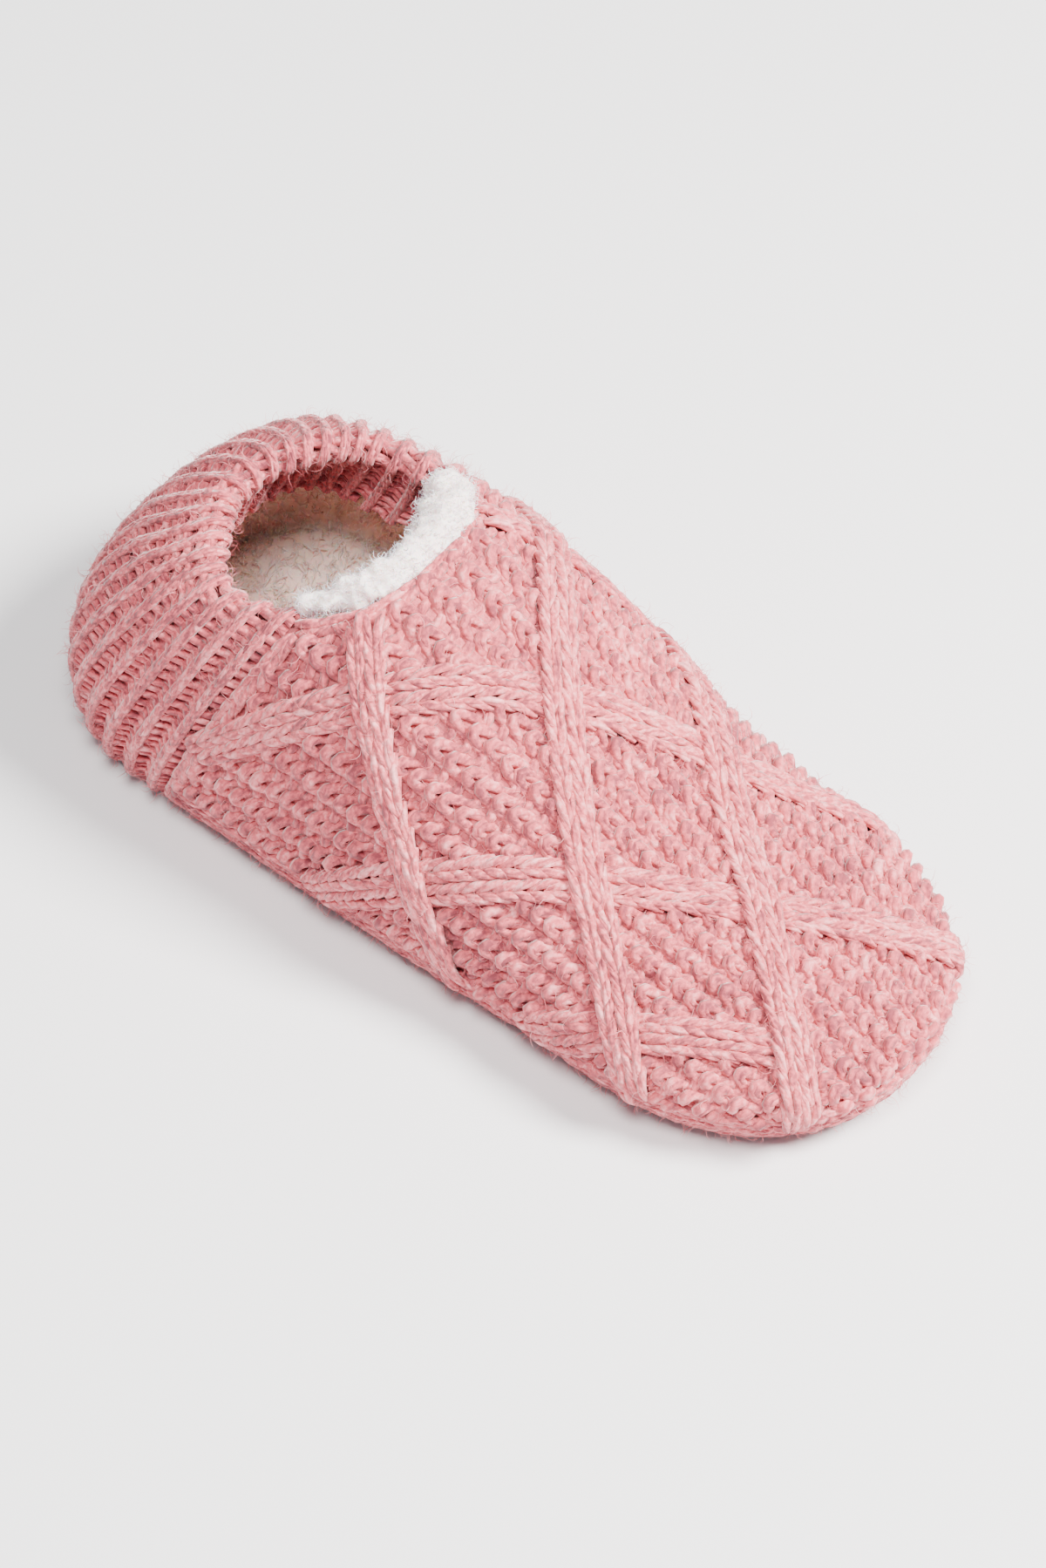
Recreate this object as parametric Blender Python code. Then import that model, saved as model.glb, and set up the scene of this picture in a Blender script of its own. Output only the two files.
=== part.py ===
# Knitted slipper sock: a cable-knit front and a ribbed heel in one hollow upper,
# on a thin knitted sole, with a fleece roll round the throat and a fleece insole.
# Metres, +Z up, toe to +X, the sole on Z = 0. The shape is the same on both sides.

import math

import bmesh
import bpy
import numpy as np
from mathutils import Vector

# Overall sizes of the last
LENGTH = 0.2400
HEEL_HALF_WIDTH = 0.0495
BALL_HALF_WIDTH = 0.0466
WAIST_SWELL = 0.0008
HEEL_ROUND = 0.0393
TOE_ROUND = 0.0581
HEEL_TOP = 0.0729
TOE_TOP = 0.0367
INSTEP_RISE = 0.0080
HEEL_SIDE_HEIGHT = 0.0217
TOE_SIDE_HEIGHT = 0.0173
TUCK = 0.0048
TOE_SPRING = 0.0020
SPRING_START = 0.229 * LENGTH

# How the top line climbs at the heel and falls at the toe, and how square each end is
HEEL_CLIMB = 0.529
TOE_FALL = -0.200
HEEL_SQUARENESS = 2.20
TOE_SQUARENESS = 2.18

# Walls, clearance and the sole's layers
WALL = 0.0035
CLEARANCE = 0.0003
SOLE_THICKNESS = 0.0037
SOLE_EDGE = 0.0011
INSOLE_THICKNESS = 0.0050
INSOLE_INSET = 0.0012
SEAM_RADIUS = 0.0015
SEAM_DROP = 0.00095

# Collar and throat
CORNER_X = -0.1796 * LENGTH
THROAT_X = -0.1050 * LENGTH
THROAT_HALF_WIDTH = 0.0300
THROAT_CURVE = 3.0
SEAM_BASE_X = -0.3000 * LENGTH
ROLL_RISE = 0.0030
FACING_THICKNESS = 0.0080
FACING_DEPTH = 0.0260
FLEECE_RADIUS = 0.0062
FLEECE_LUMP = 0.0009
FLEECE_SHARE = 0.90

# Raised knitting
RIBS_PER_SIDE = 11
RIB_RELIEF = 0.0017
RIB_FADE = 0.26              # share of the rib's length over which it sinks into the sole's edge
STRIP_WIDTH = 0.0092
UPPER_STRIP_RELIEF = 0.0021
UNDER_STRIP_RELIEF = 0.0014
STRIP_SINK = 0.0012
STRIP_END = 0.0085           # how far above the sole's edge a strip stops
STRIP_START = 0.0012         # and how far in front of the throat's edge it begins
LATTICE_START = 0.0604 * LENGTH    # where two strips cross on the top line
LATTICE_STEP = 0.1250 * LENGTH     # from that crossing to the next one beside it, along the foot
LATTICE_SPREAD = 0.325             # and across, as a share of the way round to the sole
COURSE_BOW = 0.0583 * LENGTH       # how far the knitting's rows fall back towards the sole
BAND_RELIEF = 0.0010

# Each row is a stage of the section along the foot: squareness of the dome and of its shoulder
SECTION_FORM = (
    {"along": 0.0, "dome": 2.57, "shoulder": 1.80},
    {"along": 0.5, "dome": 2.52, "shoulder": 1.63},
    {"along": 1.0, "dome": 2.27, "shoulder": 1.46},
)

# Each row is a stage of the collar's edge on its way round from the throat corner to the heel's back:
# how far out the edge lies, as a share of the way to the widest line
COLLAR_EDGE = (
    {"round": 0.2, "reach": 0.66},
    {"round": 0.4, "reach": 0.58},
    {"round": 0.6, "reach": 0.42},
    {"round": 0.8, "reach": 0.26},
    {"round": 1.0, "reach": 0.20},
)

# Shares of the way down the seam, from the collar corner to the sole
SEAM_ROWS = (0.0, 0.10, 0.22, 0.36, 0.50, 0.62, 0.74, 0.86, 1.0)
THROAT_ROWS = (0.0, 0.30, 0.58, 0.82, 1.0)
PLATE_ROWS = (0.0, 0.5, 0.85, 1.0)
WIDEST_ROW = 1.0
BASE_ROW = 1.5

# How finely the curved pieces are divided
SIDE_COLUMNS = 13
TOE_COLUMNS = 8
PLATE_COLUMNS = 32           # the seam is divided with the plates, so that it follows their edge
FLEECE_RINGS = 40
FLEECE_AROUND = 10
LATTICE_POINT_STEP = LATTICE_STEP / 6
FIRST_CROSSING = -1
LAST_CROSSING = 2

HEEL_X = -LENGTH / 2 + HEEL_ROUND
TOE_X = LENGTH / 2 - TOE_ROUND
SPAN = TOE_X - HEEL_X


def along_foot(x):
    return (x - HEEL_X) / SPAN


def top_height(x):
    t = along_foot(x)
    heel = HEEL_TOP * (2 * t**3 - 3 * t**2 + 1) + HEEL_CLIMB * SPAN * (t**3 - 2 * t**2 + t)
    toe = TOE_TOP * (3 * t**2 - 2 * t**3) + TOE_FALL * SPAN * (t**3 - t**2)
    return heel + toe + INSTEP_RISE * 16 * t**2 * (1 - t)**2


def half_width(x):
    t = along_foot(x)
    ease = t * t * (3 - 2 * t)
    straight = HEEL_HALF_WIDTH + (BALL_HALF_WIDTH - HEEL_HALF_WIDTH) * ease
    return straight + WAIST_SWELL * math.sin(math.pi * t)**2


def spring(x):
    run = max(0.0, x - SPRING_START) / (LENGTH / 2 - SPRING_START)
    return TOE_SPRING * run**2


def form(t, key):
    return float(np.interp(t, [row["along"] for row in SECTION_FORM], [row[key] for row in SECTION_FORM]))


def end_reach(turn, length, width, squareness):
    share = (math.cos(turn) / length)**squareness + (math.sin(turn) / width)**squareness
    return share**(-1 / squareness)


class Station:
    """One profile of the last, from its top line out and down to the sole edge."""

    def __init__(self, x, heading, reach, top, slope, t):
        self.x = x
        self.heading = heading
        self.reach = reach
        self.top = top
        self.slope = slope
        self.dome = form(t, "dome")
        self.shoulder = form(t, "shoulder")
        rise = HEEL_SIDE_HEIGHT + (TOE_SIDE_HEIGHT - HEEL_SIDE_HEIGHT) * t
        edge = x + heading[0] * (reach - TUCK)
        self.lift = spring(edge)
        self.base = SOLE_THICKNESS + CLEARANCE + self.lift
        self.widest = rise + self.lift
        self.lengths = None

    def profile(self, row):
        """Distance out and height of a row: 0 on the top line, 1 at the widest, 1.5 at the base."""
        if row <= WIDEST_ROW:
            out = math.sin(row * math.pi / 2)
            top = self.top + self.slope * out * self.reach
            share = max(0.0, 1 - out**self.dome)**(1 / self.shoulder)
            return out * self.reach, self.widest + (top - self.widest) * share
        turn = (row - WIDEST_ROW) / (BASE_ROW - WIDEST_ROW) * math.pi / 2
        height = self.widest - (self.widest - self.base) * math.sin(turn)
        return self.reach - TUCK * (1 - math.cos(turn)), height

    def normal(self, row):
        step = 0.004
        near = self.profile(max(0.0, row - step))
        far = self.profile(min(BASE_ROW, row + step))
        out, fall = far[0] - near[0], far[1] - near[1]
        size = math.hypot(out, fall)
        return -fall / size, out / size

    def point(self, row, lift=0.0):
        out, height = self.profile(row)
        if row > 0:
            aside, up = self.normal(row)
        else:
            aside, up = 0.0, 1.0
        out += aside * lift
        return Vector((self.x + self.heading[0] * out, self.heading[1] * out, height + up * lift))

    def row_at(self, distance):
        """The row that lies a given length of surface away from the top line."""
        if self.lengths is None:
            rows = np.linspace(0, BASE_ROW, 61)
            points = np.array([self.profile(row) for row in rows])
            steps = np.hypot(*np.diff(points, axis=0).T)
            self.lengths = rows, np.concatenate([[0], np.cumsum(steps)])
        rows, lengths = self.lengths
        return float(np.interp(distance, lengths, rows))

    def girth(self):
        self.row_at(0)
        return self.lengths[1][-1]


def side_station(x, side):
    return Station(x, (0.0, side), half_width(x), top_height(x), 0.0, along_foot(x))


def toe_station(turn, side):
    reach = end_reach(turn, TOE_ROUND, BALL_HALF_WIDTH, TOE_SQUARENESS)
    heading = (math.cos(turn), side * math.sin(turn))
    return Station(TOE_X, heading, reach, TOE_TOP, TOE_FALL * math.cos(turn), 1.0)


def heel_station(turn, side):
    reach = end_reach(turn, HEEL_ROUND, HEEL_HALF_WIDTH, HEEL_SQUARENESS)
    heading = (-math.cos(turn), side * math.sin(turn))
    return Station(HEEL_X, heading, reach, HEEL_TOP, -HEEL_CLIMB * math.cos(turn), 0.0)


def row_of_reach(share):
    return math.asin(min(1.0, share)) * 2 / math.pi


CORNER_ROW = row_of_reach(THROAT_HALF_WIDTH / half_width(CORNER_X))
CORNER_STATION = side_station(CORNER_X, 1)


def seam_row(share, top_row=CORNER_ROW):
    return top_row + (BASE_ROW - top_row) * share


def back_edge(row):
    """Where the cable-knit front begins at a row: the throat above the corner, the seam below it."""
    if row <= CORNER_ROW:
        return THROAT_X - (THROAT_X - CORNER_X) * (row / CORNER_ROW)**THROAT_CURVE
    high = CORNER_STATION.profile(CORNER_ROW)[1]
    fall = (high - CORNER_STATION.profile(row)[1]) / (high - CORNER_STATION.base)
    return CORNER_X + (SEAM_BASE_X - CORNER_X) * fall


def turn_at(share, end):
    """The turn of the end station that lies a share of the way round from the side to the tip."""
    length, width, squareness = {
        "heel": (HEEL_ROUND, HEEL_HALF_WIDTH, HEEL_SQUARENESS),
        "toe": (TOE_ROUND, BALL_HALF_WIDTH, TOE_SQUARENESS),
    }[end]
    turns = np.linspace(math.pi / 2, 0, 91)
    reach = np.array([end_reach(turn, length, width, squareness) for turn in turns])
    path = np.array([reach * np.cos(turns), reach * np.sin(turns)])
    lengths = np.concatenate([[0], np.cumsum(np.hypot(*np.diff(path, axis=1)))])
    return float(np.interp(share * lengths[-1], lengths, turns)), lengths[-1]


def front_columns(side):
    """Pairs of outer and inner rows over the front, from its back edge to the toe tip."""
    rows = [CORNER_ROW * share for share in THROAT_ROWS] + [seam_row(share) for share in SEAM_ROWS[1:]]
    columns = []
    for i in range(SIDE_COLUMNS + 1):
        share = i / SIDE_COLUMNS
        spots = []
        for row in rows:
            start = back_edge(row)
            spots.append((side_station(start + (TOE_X - start) * share, side), row))
        columns.append(spots)
    for i in range(1, TOE_COLUMNS + 1):
        station = toe_station(turn_at(i / TOE_COLUMNS, "toe")[0], side)
        columns.append([(station, row) for row in rows])
    band = [BAND_RELIEF if WIDEST_ROW < row < BASE_ROW else 0.0 for row in rows]
    outer = [[station.point(row) for station, row in columns[0]]]
    for spots in columns[1:]:
        outer.append([station.point(row, lift) for (station, row), lift in zip(spots, band)])
    inner = [[station.point(row, -WALL) for station, row in spots] for spots in columns]
    return outer, inner


def collar_row(share):
    """The row of the collar's edge at a share of the way round, on a smooth curve through its stages."""
    rounds = [0.0] + [stage["round"] for stage in COLLAR_EDGE]
    reaches = [THROAT_HALF_WIDTH / half_width(CORNER_X)] + [stage["reach"] for stage in COLLAR_EDGE]
    slopes = np.gradient(reaches, rounds)
    slopes[-1] = 0.0
    i = min(int(np.searchsorted(rounds, share, side="right")), len(rounds) - 1) - 1
    step = rounds[i + 1] - rounds[i]
    t = (share - rounds[i]) / step
    reach = reaches[i] + (reaches[i + 1] - reaches[i]) * (3 * t**2 - 2 * t**3)
    reach += slopes[i] * step * (t**3 - 2 * t**2 + t) + slopes[i + 1] * step * (t**3 - t**2)
    return row_of_reach(reach)


def heel_station_at(share, row, side):
    """The station a share of the way round the ribbed heel, measured along one row."""
    start = back_edge(row)
    straight = start - HEEL_X
    _, arc = turn_at(1, "heel")
    arc *= math.sin(min(row, WIDEST_ROW) * math.pi / 2)
    distance = share * (straight + arc)
    if distance <= straight:
        return side_station(start - distance, side)
    return heel_station(turn_at((distance - straight) / arc, "heel")[0], side)


def rib_columns(side):
    """Outer and inner rows of the ribbed heel: the rolled collar edge first, the sole edge last."""
    marks = ({"place": 0.0, "relief": 0.0}, {"place": 0.3, "relief": 1.0}, {"place": 0.7, "relief": 1.0})
    outer = []
    inner = []
    for k in range(RIBS_PER_SIDE * len(marks) + 1):
        mark = marks[k % len(marks)]
        share = (k // len(marks) + mark["place"]) / RIBS_PER_SIDE
        relief = RIB_RELIEF * mark["relief"]
        fold = min(1.0, k / len(marks))
        top_row = collar_row(share)
        outside = []
        inside = []
        for part in SEAM_ROWS:
            row = seam_row(part, top_row if k else CORNER_ROW)
            station = heel_station_at(share, row, side)
            outside.append(station.point(row, relief * min(1.0, (1 - part) / RIB_FADE)))
            depth = part * station.girth() * (BASE_ROW - top_row) / BASE_ROW
            doubled = FACING_THICKNESS - WALL if depth < FACING_DEPTH else 0.0
            inside.append(station.point(row, -WALL - doubled * fold))
        rise = (outside[0] - outside[1]).normalized() * ROLL_RISE
        crest = (outside[0] + inside[0]) / 2 + rise
        outer.append([crest] + outside)
        inner.append([crest] + inside)
    return outer, inner


class Skin:
    """Collects the faces of one closed body, whose shared points are merged at the end."""

    def __init__(self):
        self.mesh = bmesh.new()

    def face(self, *points):
        corners = [self.mesh.verts.new(point) for point in points]
        self.mesh.faces.new(corners)

    def sheet(self, grid):
        for low, high in zip(grid, grid[1:]):
            for j in range(len(low) - 1):
                self.face(low[j], high[j], high[j + 1], low[j + 1])

    def strip(self, first, second):
        for i in range(len(first) - 1):
            self.face(first[i], second[i], second[i + 1], first[i + 1])

    def finish(self, name):
        bmesh.ops.remove_doubles(self.mesh, verts=self.mesh.verts, dist=1e-6)
        bmesh.ops.dissolve_degenerate(self.mesh, edges=self.mesh.edges, dist=1e-6)
        bmesh.ops.triangulate(self.mesh, faces=self.mesh.faces)
        bmesh.ops.recalc_face_normals(self.mesh, faces=self.mesh.faces)
        data = bpy.data.meshes.new(name)
        self.mesh.to_mesh(data)
        self.mesh.free()
        return bpy.data.objects.new(name, data)


def build_upper():
    skin = Skin()
    for side in (1, -1):
        front_outer, front_inner = front_columns(side)
        rib_outer, rib_inner = rib_columns(side)
        for grid in (front_outer, front_inner, rib_outer, rib_inner):
            skin.sheet(grid)
        skin.strip([column[-1] for column in front_outer], [column[-1] for column in front_inner])
        skin.strip([column[-1] for column in rib_outer], [column[-1] for column in rib_inner])
        throat = len(THROAT_ROWS)
        skin.strip(front_outer[0][:throat], front_inner[0][:throat])
        skin.face(rib_outer[0][0], rib_outer[0][1], rib_inner[0][1])
    return skin.finish("upper")


def on_front(x, y):
    """Station and row at a place on the front laid flat, whose round toe is laid out about its centre."""
    side = 1 if y >= 0 else -1
    if x <= TOE_X:
        station = side_station(x, side)
        distance = abs(y)
    else:
        station = toe_station(math.atan2(abs(y), x - TOE_X), side)
        distance = math.hypot(x - TOE_X, y)
    return station, station.row_at(distance)


def knit_place(along, across):
    """Place on the flat front of a stitch, by its distance along and its share of the way round."""
    x = along - COURSE_BOW * across**2
    return Vector((x, across * side_station(min(x, TOE_X), 1).girth()))


def lattice_lines():
    """The path on the flat front of each cable strip, and which way it slants.

    The last pair begins at the sole's edge and ends where it meets the pair before it.
    """
    lines = []
    step = LATTICE_POINT_STEP
    slope = LATTICE_SPREAD / LATTICE_STEP
    for number in range(FIRST_CROSSING, LAST_CROSSING + 1):
        crossing = LATTICE_START + 2 * number * LATTICE_STEP
        for direction in (1, -1):
            path = []
            for i in range(round(LENGTH / step)):
                along = HEEL_X + i * step
                across = direction * slope * (along - crossing)
                toe_end = number == LAST_CROSSING and along > crossing - LATTICE_STEP
                if abs(across) > 1 or toe_end:
                    continue
                place = knit_place(along, across)
                station, row = on_front(*place)
                lowest = station.row_at(station.girth() - STRIP_END)
                if row < lowest and place.x > back_edge(row) + STRIP_START:
                    path.append(place)
            if len(path) * step > 2 * STRIP_WIDTH:
                lines.append((path, direction))
    return lines


def build_strip(name, path, relief):
    """A cable strip laid over the front: a low rounded bar that follows the surface."""
    outline = ((-0.5, -STRIP_SINK), (-0.5, relief * 0.35), (-0.3, relief), (0.3, relief),
               (0.5, relief * 0.35), (0.5, -STRIP_SINK))
    rings = []
    for i, middle in enumerate(path):
        along = (path[min(i + 1, len(path) - 1)] - path[max(i - 1, 0)]).normalized()
        across = Vector((-along.y, along.x))
        ring = []
        for offset, lift in outline:
            place = middle + across * (offset * STRIP_WIDTH)
            station, row = on_front(place.x, place.y)
            ring.append(station.point(row, lift))
        rings.append(ring)
    skin = Skin()
    for low, high in zip(rings, rings[1:]):
        skin.strip(low + low[:1], high + high[:1])
    skin.face(*rings[0])
    skin.face(*reversed(rings[-1]))
    return skin.finish(name)


def base_point(share, side, inset):
    """A point of the sole's outline, from heel tip to toe tip along one side."""
    _, heel_arc = turn_at(1, "heel")
    _, toe_arc = turn_at(1, "toe")
    whole = heel_arc + SPAN + toe_arc
    distance = share * whole
    if distance < heel_arc:
        station = heel_station(turn_at(1 - distance / heel_arc, "heel")[0], side)
    elif distance <= heel_arc + SPAN:
        station = side_station(HEEL_X + distance - heel_arc, side)
    else:
        station = toe_station(turn_at((distance - heel_arc - SPAN) / toe_arc, "toe")[0], side)
    return station, station.reach - TUCK - inset


def build_plate(name, inset, bottom, top, edge):
    """A flat pad inside the sole's outline, which follows the toe spring."""
    skin = Skin()
    for side in (1, -1):
        low = []
        high = []
        for i in range(PLATE_COLUMNS + 1):
            station, reach = base_point(i / PLATE_COLUMNS, side, inset)
            low_row = []
            high_row = []
            for share in PLATE_ROWS:
                out = share * reach
                x = station.x + station.heading[0] * out
                y = station.heading[1] * out
                rounding = edge if share == 1.0 else 0.0
                low_row.append(Vector((x, y, bottom + spring(x) + rounding)))
                high_row.append(Vector((x, y, top + spring(x))))
            low.append(low_row)
            high.append(high_row)
        skin.sheet(low)
        skin.sheet(high)
        skin.strip([row[-1] for row in low], [row[-1] for row in high])
    return skin.finish(name)


def build_seam():
    """The corded seam that runs round the joint of upper and sole."""
    points = []
    for side in (1, -1):
        order = range(PLATE_COLUMNS) if side == 1 else range(PLATE_COLUMNS, 0, -1)
        for i in order:
            station, reach = base_point(i / PLATE_COLUMNS, side, -CLEARANCE - SEAM_RADIUS)
            x = station.x + station.heading[0] * reach
            y = station.heading[1] * reach
            points.append((x, y, SOLE_THICKNESS - SEAM_DROP + station.lift))
    curve = bpy.data.curves.new("sole_seam", "CURVE")
    curve.dimensions = "3D"
    curve.bevel_depth = SEAM_RADIUS
    curve.bevel_resolution = 1
    spline = curve.splines.new("POLY")
    spline.points.add(len(points) - 1)
    for knot, place in zip(spline.points, points):
        knot.co = (*place, 1.0)
    spline.use_cyclic_u = True
    return bpy.data.objects.new("sole_seam", curve)


def throat_edge(share, lift=0.0):
    """A point of the throat's edge, or over it, from -1 at one corner to 1 at the other."""
    side = 1 if share >= 0 else -1
    row = abs(share) * CORNER_ROW
    return side_station(back_edge(row), side).point(row, lift)


def build_fleece():
    """The roll of fleece that the lining makes behind the throat's edge, with its curls fused on."""
    rings = []
    for i in range(FLEECE_RINGS + 1):
        share = FLEECE_SHARE * (2 * i / FLEECE_RINGS - 1)
        edge = throat_edge(share)
        forward = (throat_edge(share + 0.02) - throat_edge(share - 0.02)).normalized()
        up = (throat_edge(share, WALL) - edge).normalized()
        up = (up - forward * up.dot(forward)).normalized()
        behind = up.cross(forward)
        if behind.x > 0:
            behind.negate()
        taper = math.sqrt(max(0.0, 1 - (abs(share) / FLEECE_SHARE)**6)) * 0.75 + 0.25
        radius = (FLEECE_RADIUS - FLEECE_LUMP) * taper
        centre = edge + behind * (FLEECE_RADIUS + CLEARANCE) - up * (WALL / 2)
        ring = []
        for k in range(FLEECE_AROUND):
            turn = 2 * math.pi * k / FLEECE_AROUND
            lump = FLEECE_LUMP * taper * math.sin(i * 1.9 + 2 * math.sin(turn * 2)) * math.cos(turn * 3 + i)
            size = radius + lump
            ring.append(centre + behind * (math.cos(turn) * size) + up * (math.sin(turn) * size))
        rings.append(ring)
    skin = Skin()
    for low, high in zip(rings, rings[1:]):
        skin.strip(low + low[:1], high + high[:1])
    skin.face(*rings[0])
    skin.face(*reversed(rings[-1]))
    return skin.finish("throat_fleece")


def make_material(name, colour, roughness):
    material = bpy.data.materials.new(name)
    material.use_nodes = True
    shader = material.node_tree.nodes["Principled BSDF"]
    shader.inputs["Base Color"].default_value = (*colour, 1.0)
    shader.inputs["Roughness"].default_value = roughness
    shader.inputs["Metallic"].default_value = 0.0
    material.diffuse_color = (*colour, 1.0)
    return material


def place(obj, collection, material=None):
    collection.objects.link(obj)
    if material:
        obj.data.materials.append(material)
        if obj.type == "MESH":
            obj.data.shade_smooth()
            obj.data.set_sharp_from_angle(angle=math.radians(50))


def add_strips(upper, guides):
    for number, (path, direction) in enumerate(lattice_lines()):
        relief = UPPER_STRIP_RELIEF if direction < 0 else UNDER_STRIP_RELIEF
        strip = build_strip(f"guide_strip_{number}", path, relief)
        place(strip, guides)
        strip.hide_render = True
        strip.display_type = "WIRE"
    union = upper.modifiers.new("strips", "BOOLEAN")
    union.operation = "UNION"
    union.solver = "EXACT"
    union.operand_type = "COLLECTION"
    union.collection = guides


def main():
    for obj in list(bpy.data.objects):
        bpy.data.objects.remove(obj)
    parts = bpy.data.collections.new("slipper_sock")
    guides = bpy.data.collections.new("guides")
    for collection in (parts, guides):
        bpy.context.scene.collection.children.link(collection)

    pink_yarn = make_material("pink_yarn", (0.72, 0.36, 0.37), 0.95)
    sole_yarn = make_material("sole_yarn", (0.62, 0.30, 0.32), 0.95)
    seam_yarn = make_material("seam_yarn", (0.66, 0.33, 0.34), 0.95)
    fleece = make_material("fleece", (0.90, 0.87, 0.84), 1.0)
    lining = make_material("lining", (0.86, 0.80, 0.73), 1.0)

    upper = build_upper()
    place(upper, parts, pink_yarn)
    add_strips(upper, guides)
    place(build_plate("sole", 0.0, 0.0, SOLE_THICKNESS, SOLE_EDGE), parts, sole_yarn)
    foot_bed = SOLE_THICKNESS + CLEARANCE
    insole = build_plate("insole", INSOLE_INSET, foot_bed, foot_bed + INSOLE_THICKNESS, 0.0)
    place(insole, parts, lining)
    place(build_seam(), parts, seam_yarn)
    place(build_fleece(), parts, fleece)


main()
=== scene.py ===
import math

import bmesh
import bpy
import numpy as np
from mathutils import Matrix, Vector


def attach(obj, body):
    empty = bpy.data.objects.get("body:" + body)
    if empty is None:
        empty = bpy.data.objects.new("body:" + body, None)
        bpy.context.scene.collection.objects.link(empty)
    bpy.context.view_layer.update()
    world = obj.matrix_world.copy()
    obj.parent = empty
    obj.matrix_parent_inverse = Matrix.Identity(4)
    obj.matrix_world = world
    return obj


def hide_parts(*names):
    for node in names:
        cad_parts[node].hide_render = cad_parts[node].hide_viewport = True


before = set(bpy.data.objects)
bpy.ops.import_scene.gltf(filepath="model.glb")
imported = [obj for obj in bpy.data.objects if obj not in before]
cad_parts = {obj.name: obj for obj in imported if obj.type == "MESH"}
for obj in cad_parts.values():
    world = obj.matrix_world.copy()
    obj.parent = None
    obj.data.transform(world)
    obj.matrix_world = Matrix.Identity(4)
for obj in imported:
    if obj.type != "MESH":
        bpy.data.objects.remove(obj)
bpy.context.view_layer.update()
print("frame loaded")

mm = 0.001
rng = np.random.default_rng(7)

# Sizes of the foot shape, the same ones that the solids are worked out from
foot = {
    "length": 0.2400, "heelHalfWidth": 0.0495, "ballHalfWidth": 0.0466, "waistSwell": 0.0008,
    "heelRound": 0.0393, "toeRound": 0.0581, "heelTop": 0.0729, "toeTop": 0.0367,
    "instepRise": 0.0080, "heelSideHeight": 0.0217, "toeSideHeight": 0.0173, "tuck": 0.0048,
    "toeSpring": 0.0020, "springStart": 0.0550, "heelClimb": 0.529, "toeFall": -0.200,
    "heelSquareness": 2.20, "toeSquareness": 2.18, "soleThickness": 0.0037, "clearance": 0.0003,
    "wall": 0.0035,
}
# How square the dome and its shoulder are, from heel to toe
sectionForm = {"along": (0.0, 0.5, 1.0), "dome": (2.57, 2.52, 2.27), "shoulder": (1.80, 1.63, 1.46)}
heelX = -foot["length"] / 2 + foot["heelRound"]
toeX = foot["length"] / 2 - foot["toeRound"]
span = toeX - heelX
widestRow = 1.0
baseRow = 1.5
fineSteps = 121  # how many readings are taken along a line that is measured
mirrored = np.array([1.0, -1.0, 1.0])

# Where the two panels meet, the throat and the collar
opening = {
    "cornerX": -0.1796 * foot["length"], "throatX": -0.1050 * foot["length"],
    "throatHalfWidth": 0.0300, "throatCurve": 3.0,
    "collarRound": (0.0, 0.2, 0.4, 0.6, 0.8, 1.0), "collarReach": (0.66, 0.58, 0.42, 0.26, 0.20),
    "seamBaseX": -0.3000 * foot["length"], "rollRise": 0.0028,
    "facingThickness": 0.0050, "facingDepth": 0.0260, "facingHang": 0.38,
}


def topLine(x):
    t = (x - heelX) / span
    heel = foot["heelTop"] * (2 * t**3 - 3 * t**2 + 1) + foot["heelClimb"] * span * (t**3 - 2 * t**2 + t)
    toe = foot["toeTop"] * (3 * t**2 - 2 * t**3) + foot["toeFall"] * span * (t**3 - t**2)
    return heel + toe + foot["instepRise"] * 16 * t**2 * (1 - t)**2


def halfWidth(x):
    t = (x - heelX) / span
    ease = t * t * (3 - 2 * t)
    straight = foot["heelHalfWidth"] + (foot["ballHalfWidth"] - foot["heelHalfWidth"]) * ease
    return straight + foot["waistSwell"] * np.sin(np.pi * t)**2


def toeLift(x):
    run = np.maximum(0.0, x - foot["springStart"]) / (foot["length"] / 2 - foot["springStart"])
    return foot["toeSpring"] * run**2


def station(x, headX, headY, reach, top, slope, t):
    lift = toeLift(x + headX * (reach - foot["tuck"]))
    side = foot["heelSideHeight"] + (foot["toeSideHeight"] - foot["heelSideHeight"]) * t
    return {
        "x": x, "headX": headX, "headY": headY, "reach": reach, "top": top, "slope": slope,
        "dome": np.interp(t, sectionForm["along"], sectionForm["dome"]),
        "shoulder": np.interp(t, sectionForm["along"], sectionForm["shoulder"]),
        "widest": side + lift, "base": foot["soleThickness"] + foot["clearance"] + lift,
    }


def sideStation(x):
    x = np.asarray(x, float)
    return station(x, 0 * x, 0 * x + 1, halfWidth(x), topLine(x), 0 * x, (x - heelX) / span)


def endStation(turn, end):  # end is heel or toe, and turn 0 looks out along the foot
    turn = np.asarray(turn, float)
    ahead = 1 if end == "toe" else -1
    width = foot["ballHalfWidth"] if end == "toe" else foot["heelHalfWidth"]
    power = foot[end + "Squareness"]
    share = (np.cos(turn) / foot[end + "Round"])**power + (np.sin(turn) / width)**power
    slope = (foot["toeFall"] if end == "toe" else -foot["heelClimb"]) * np.cos(turn)
    start = toeX if end == "toe" else heelX
    top = foot[end + "Top"]
    return station(start + 0 * turn, ahead * np.cos(turn), np.sin(turn), share**(-1 / power),
                   top + 0 * turn, slope, 0 * turn + (1.0 if end == "toe" else 0.0))


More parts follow.
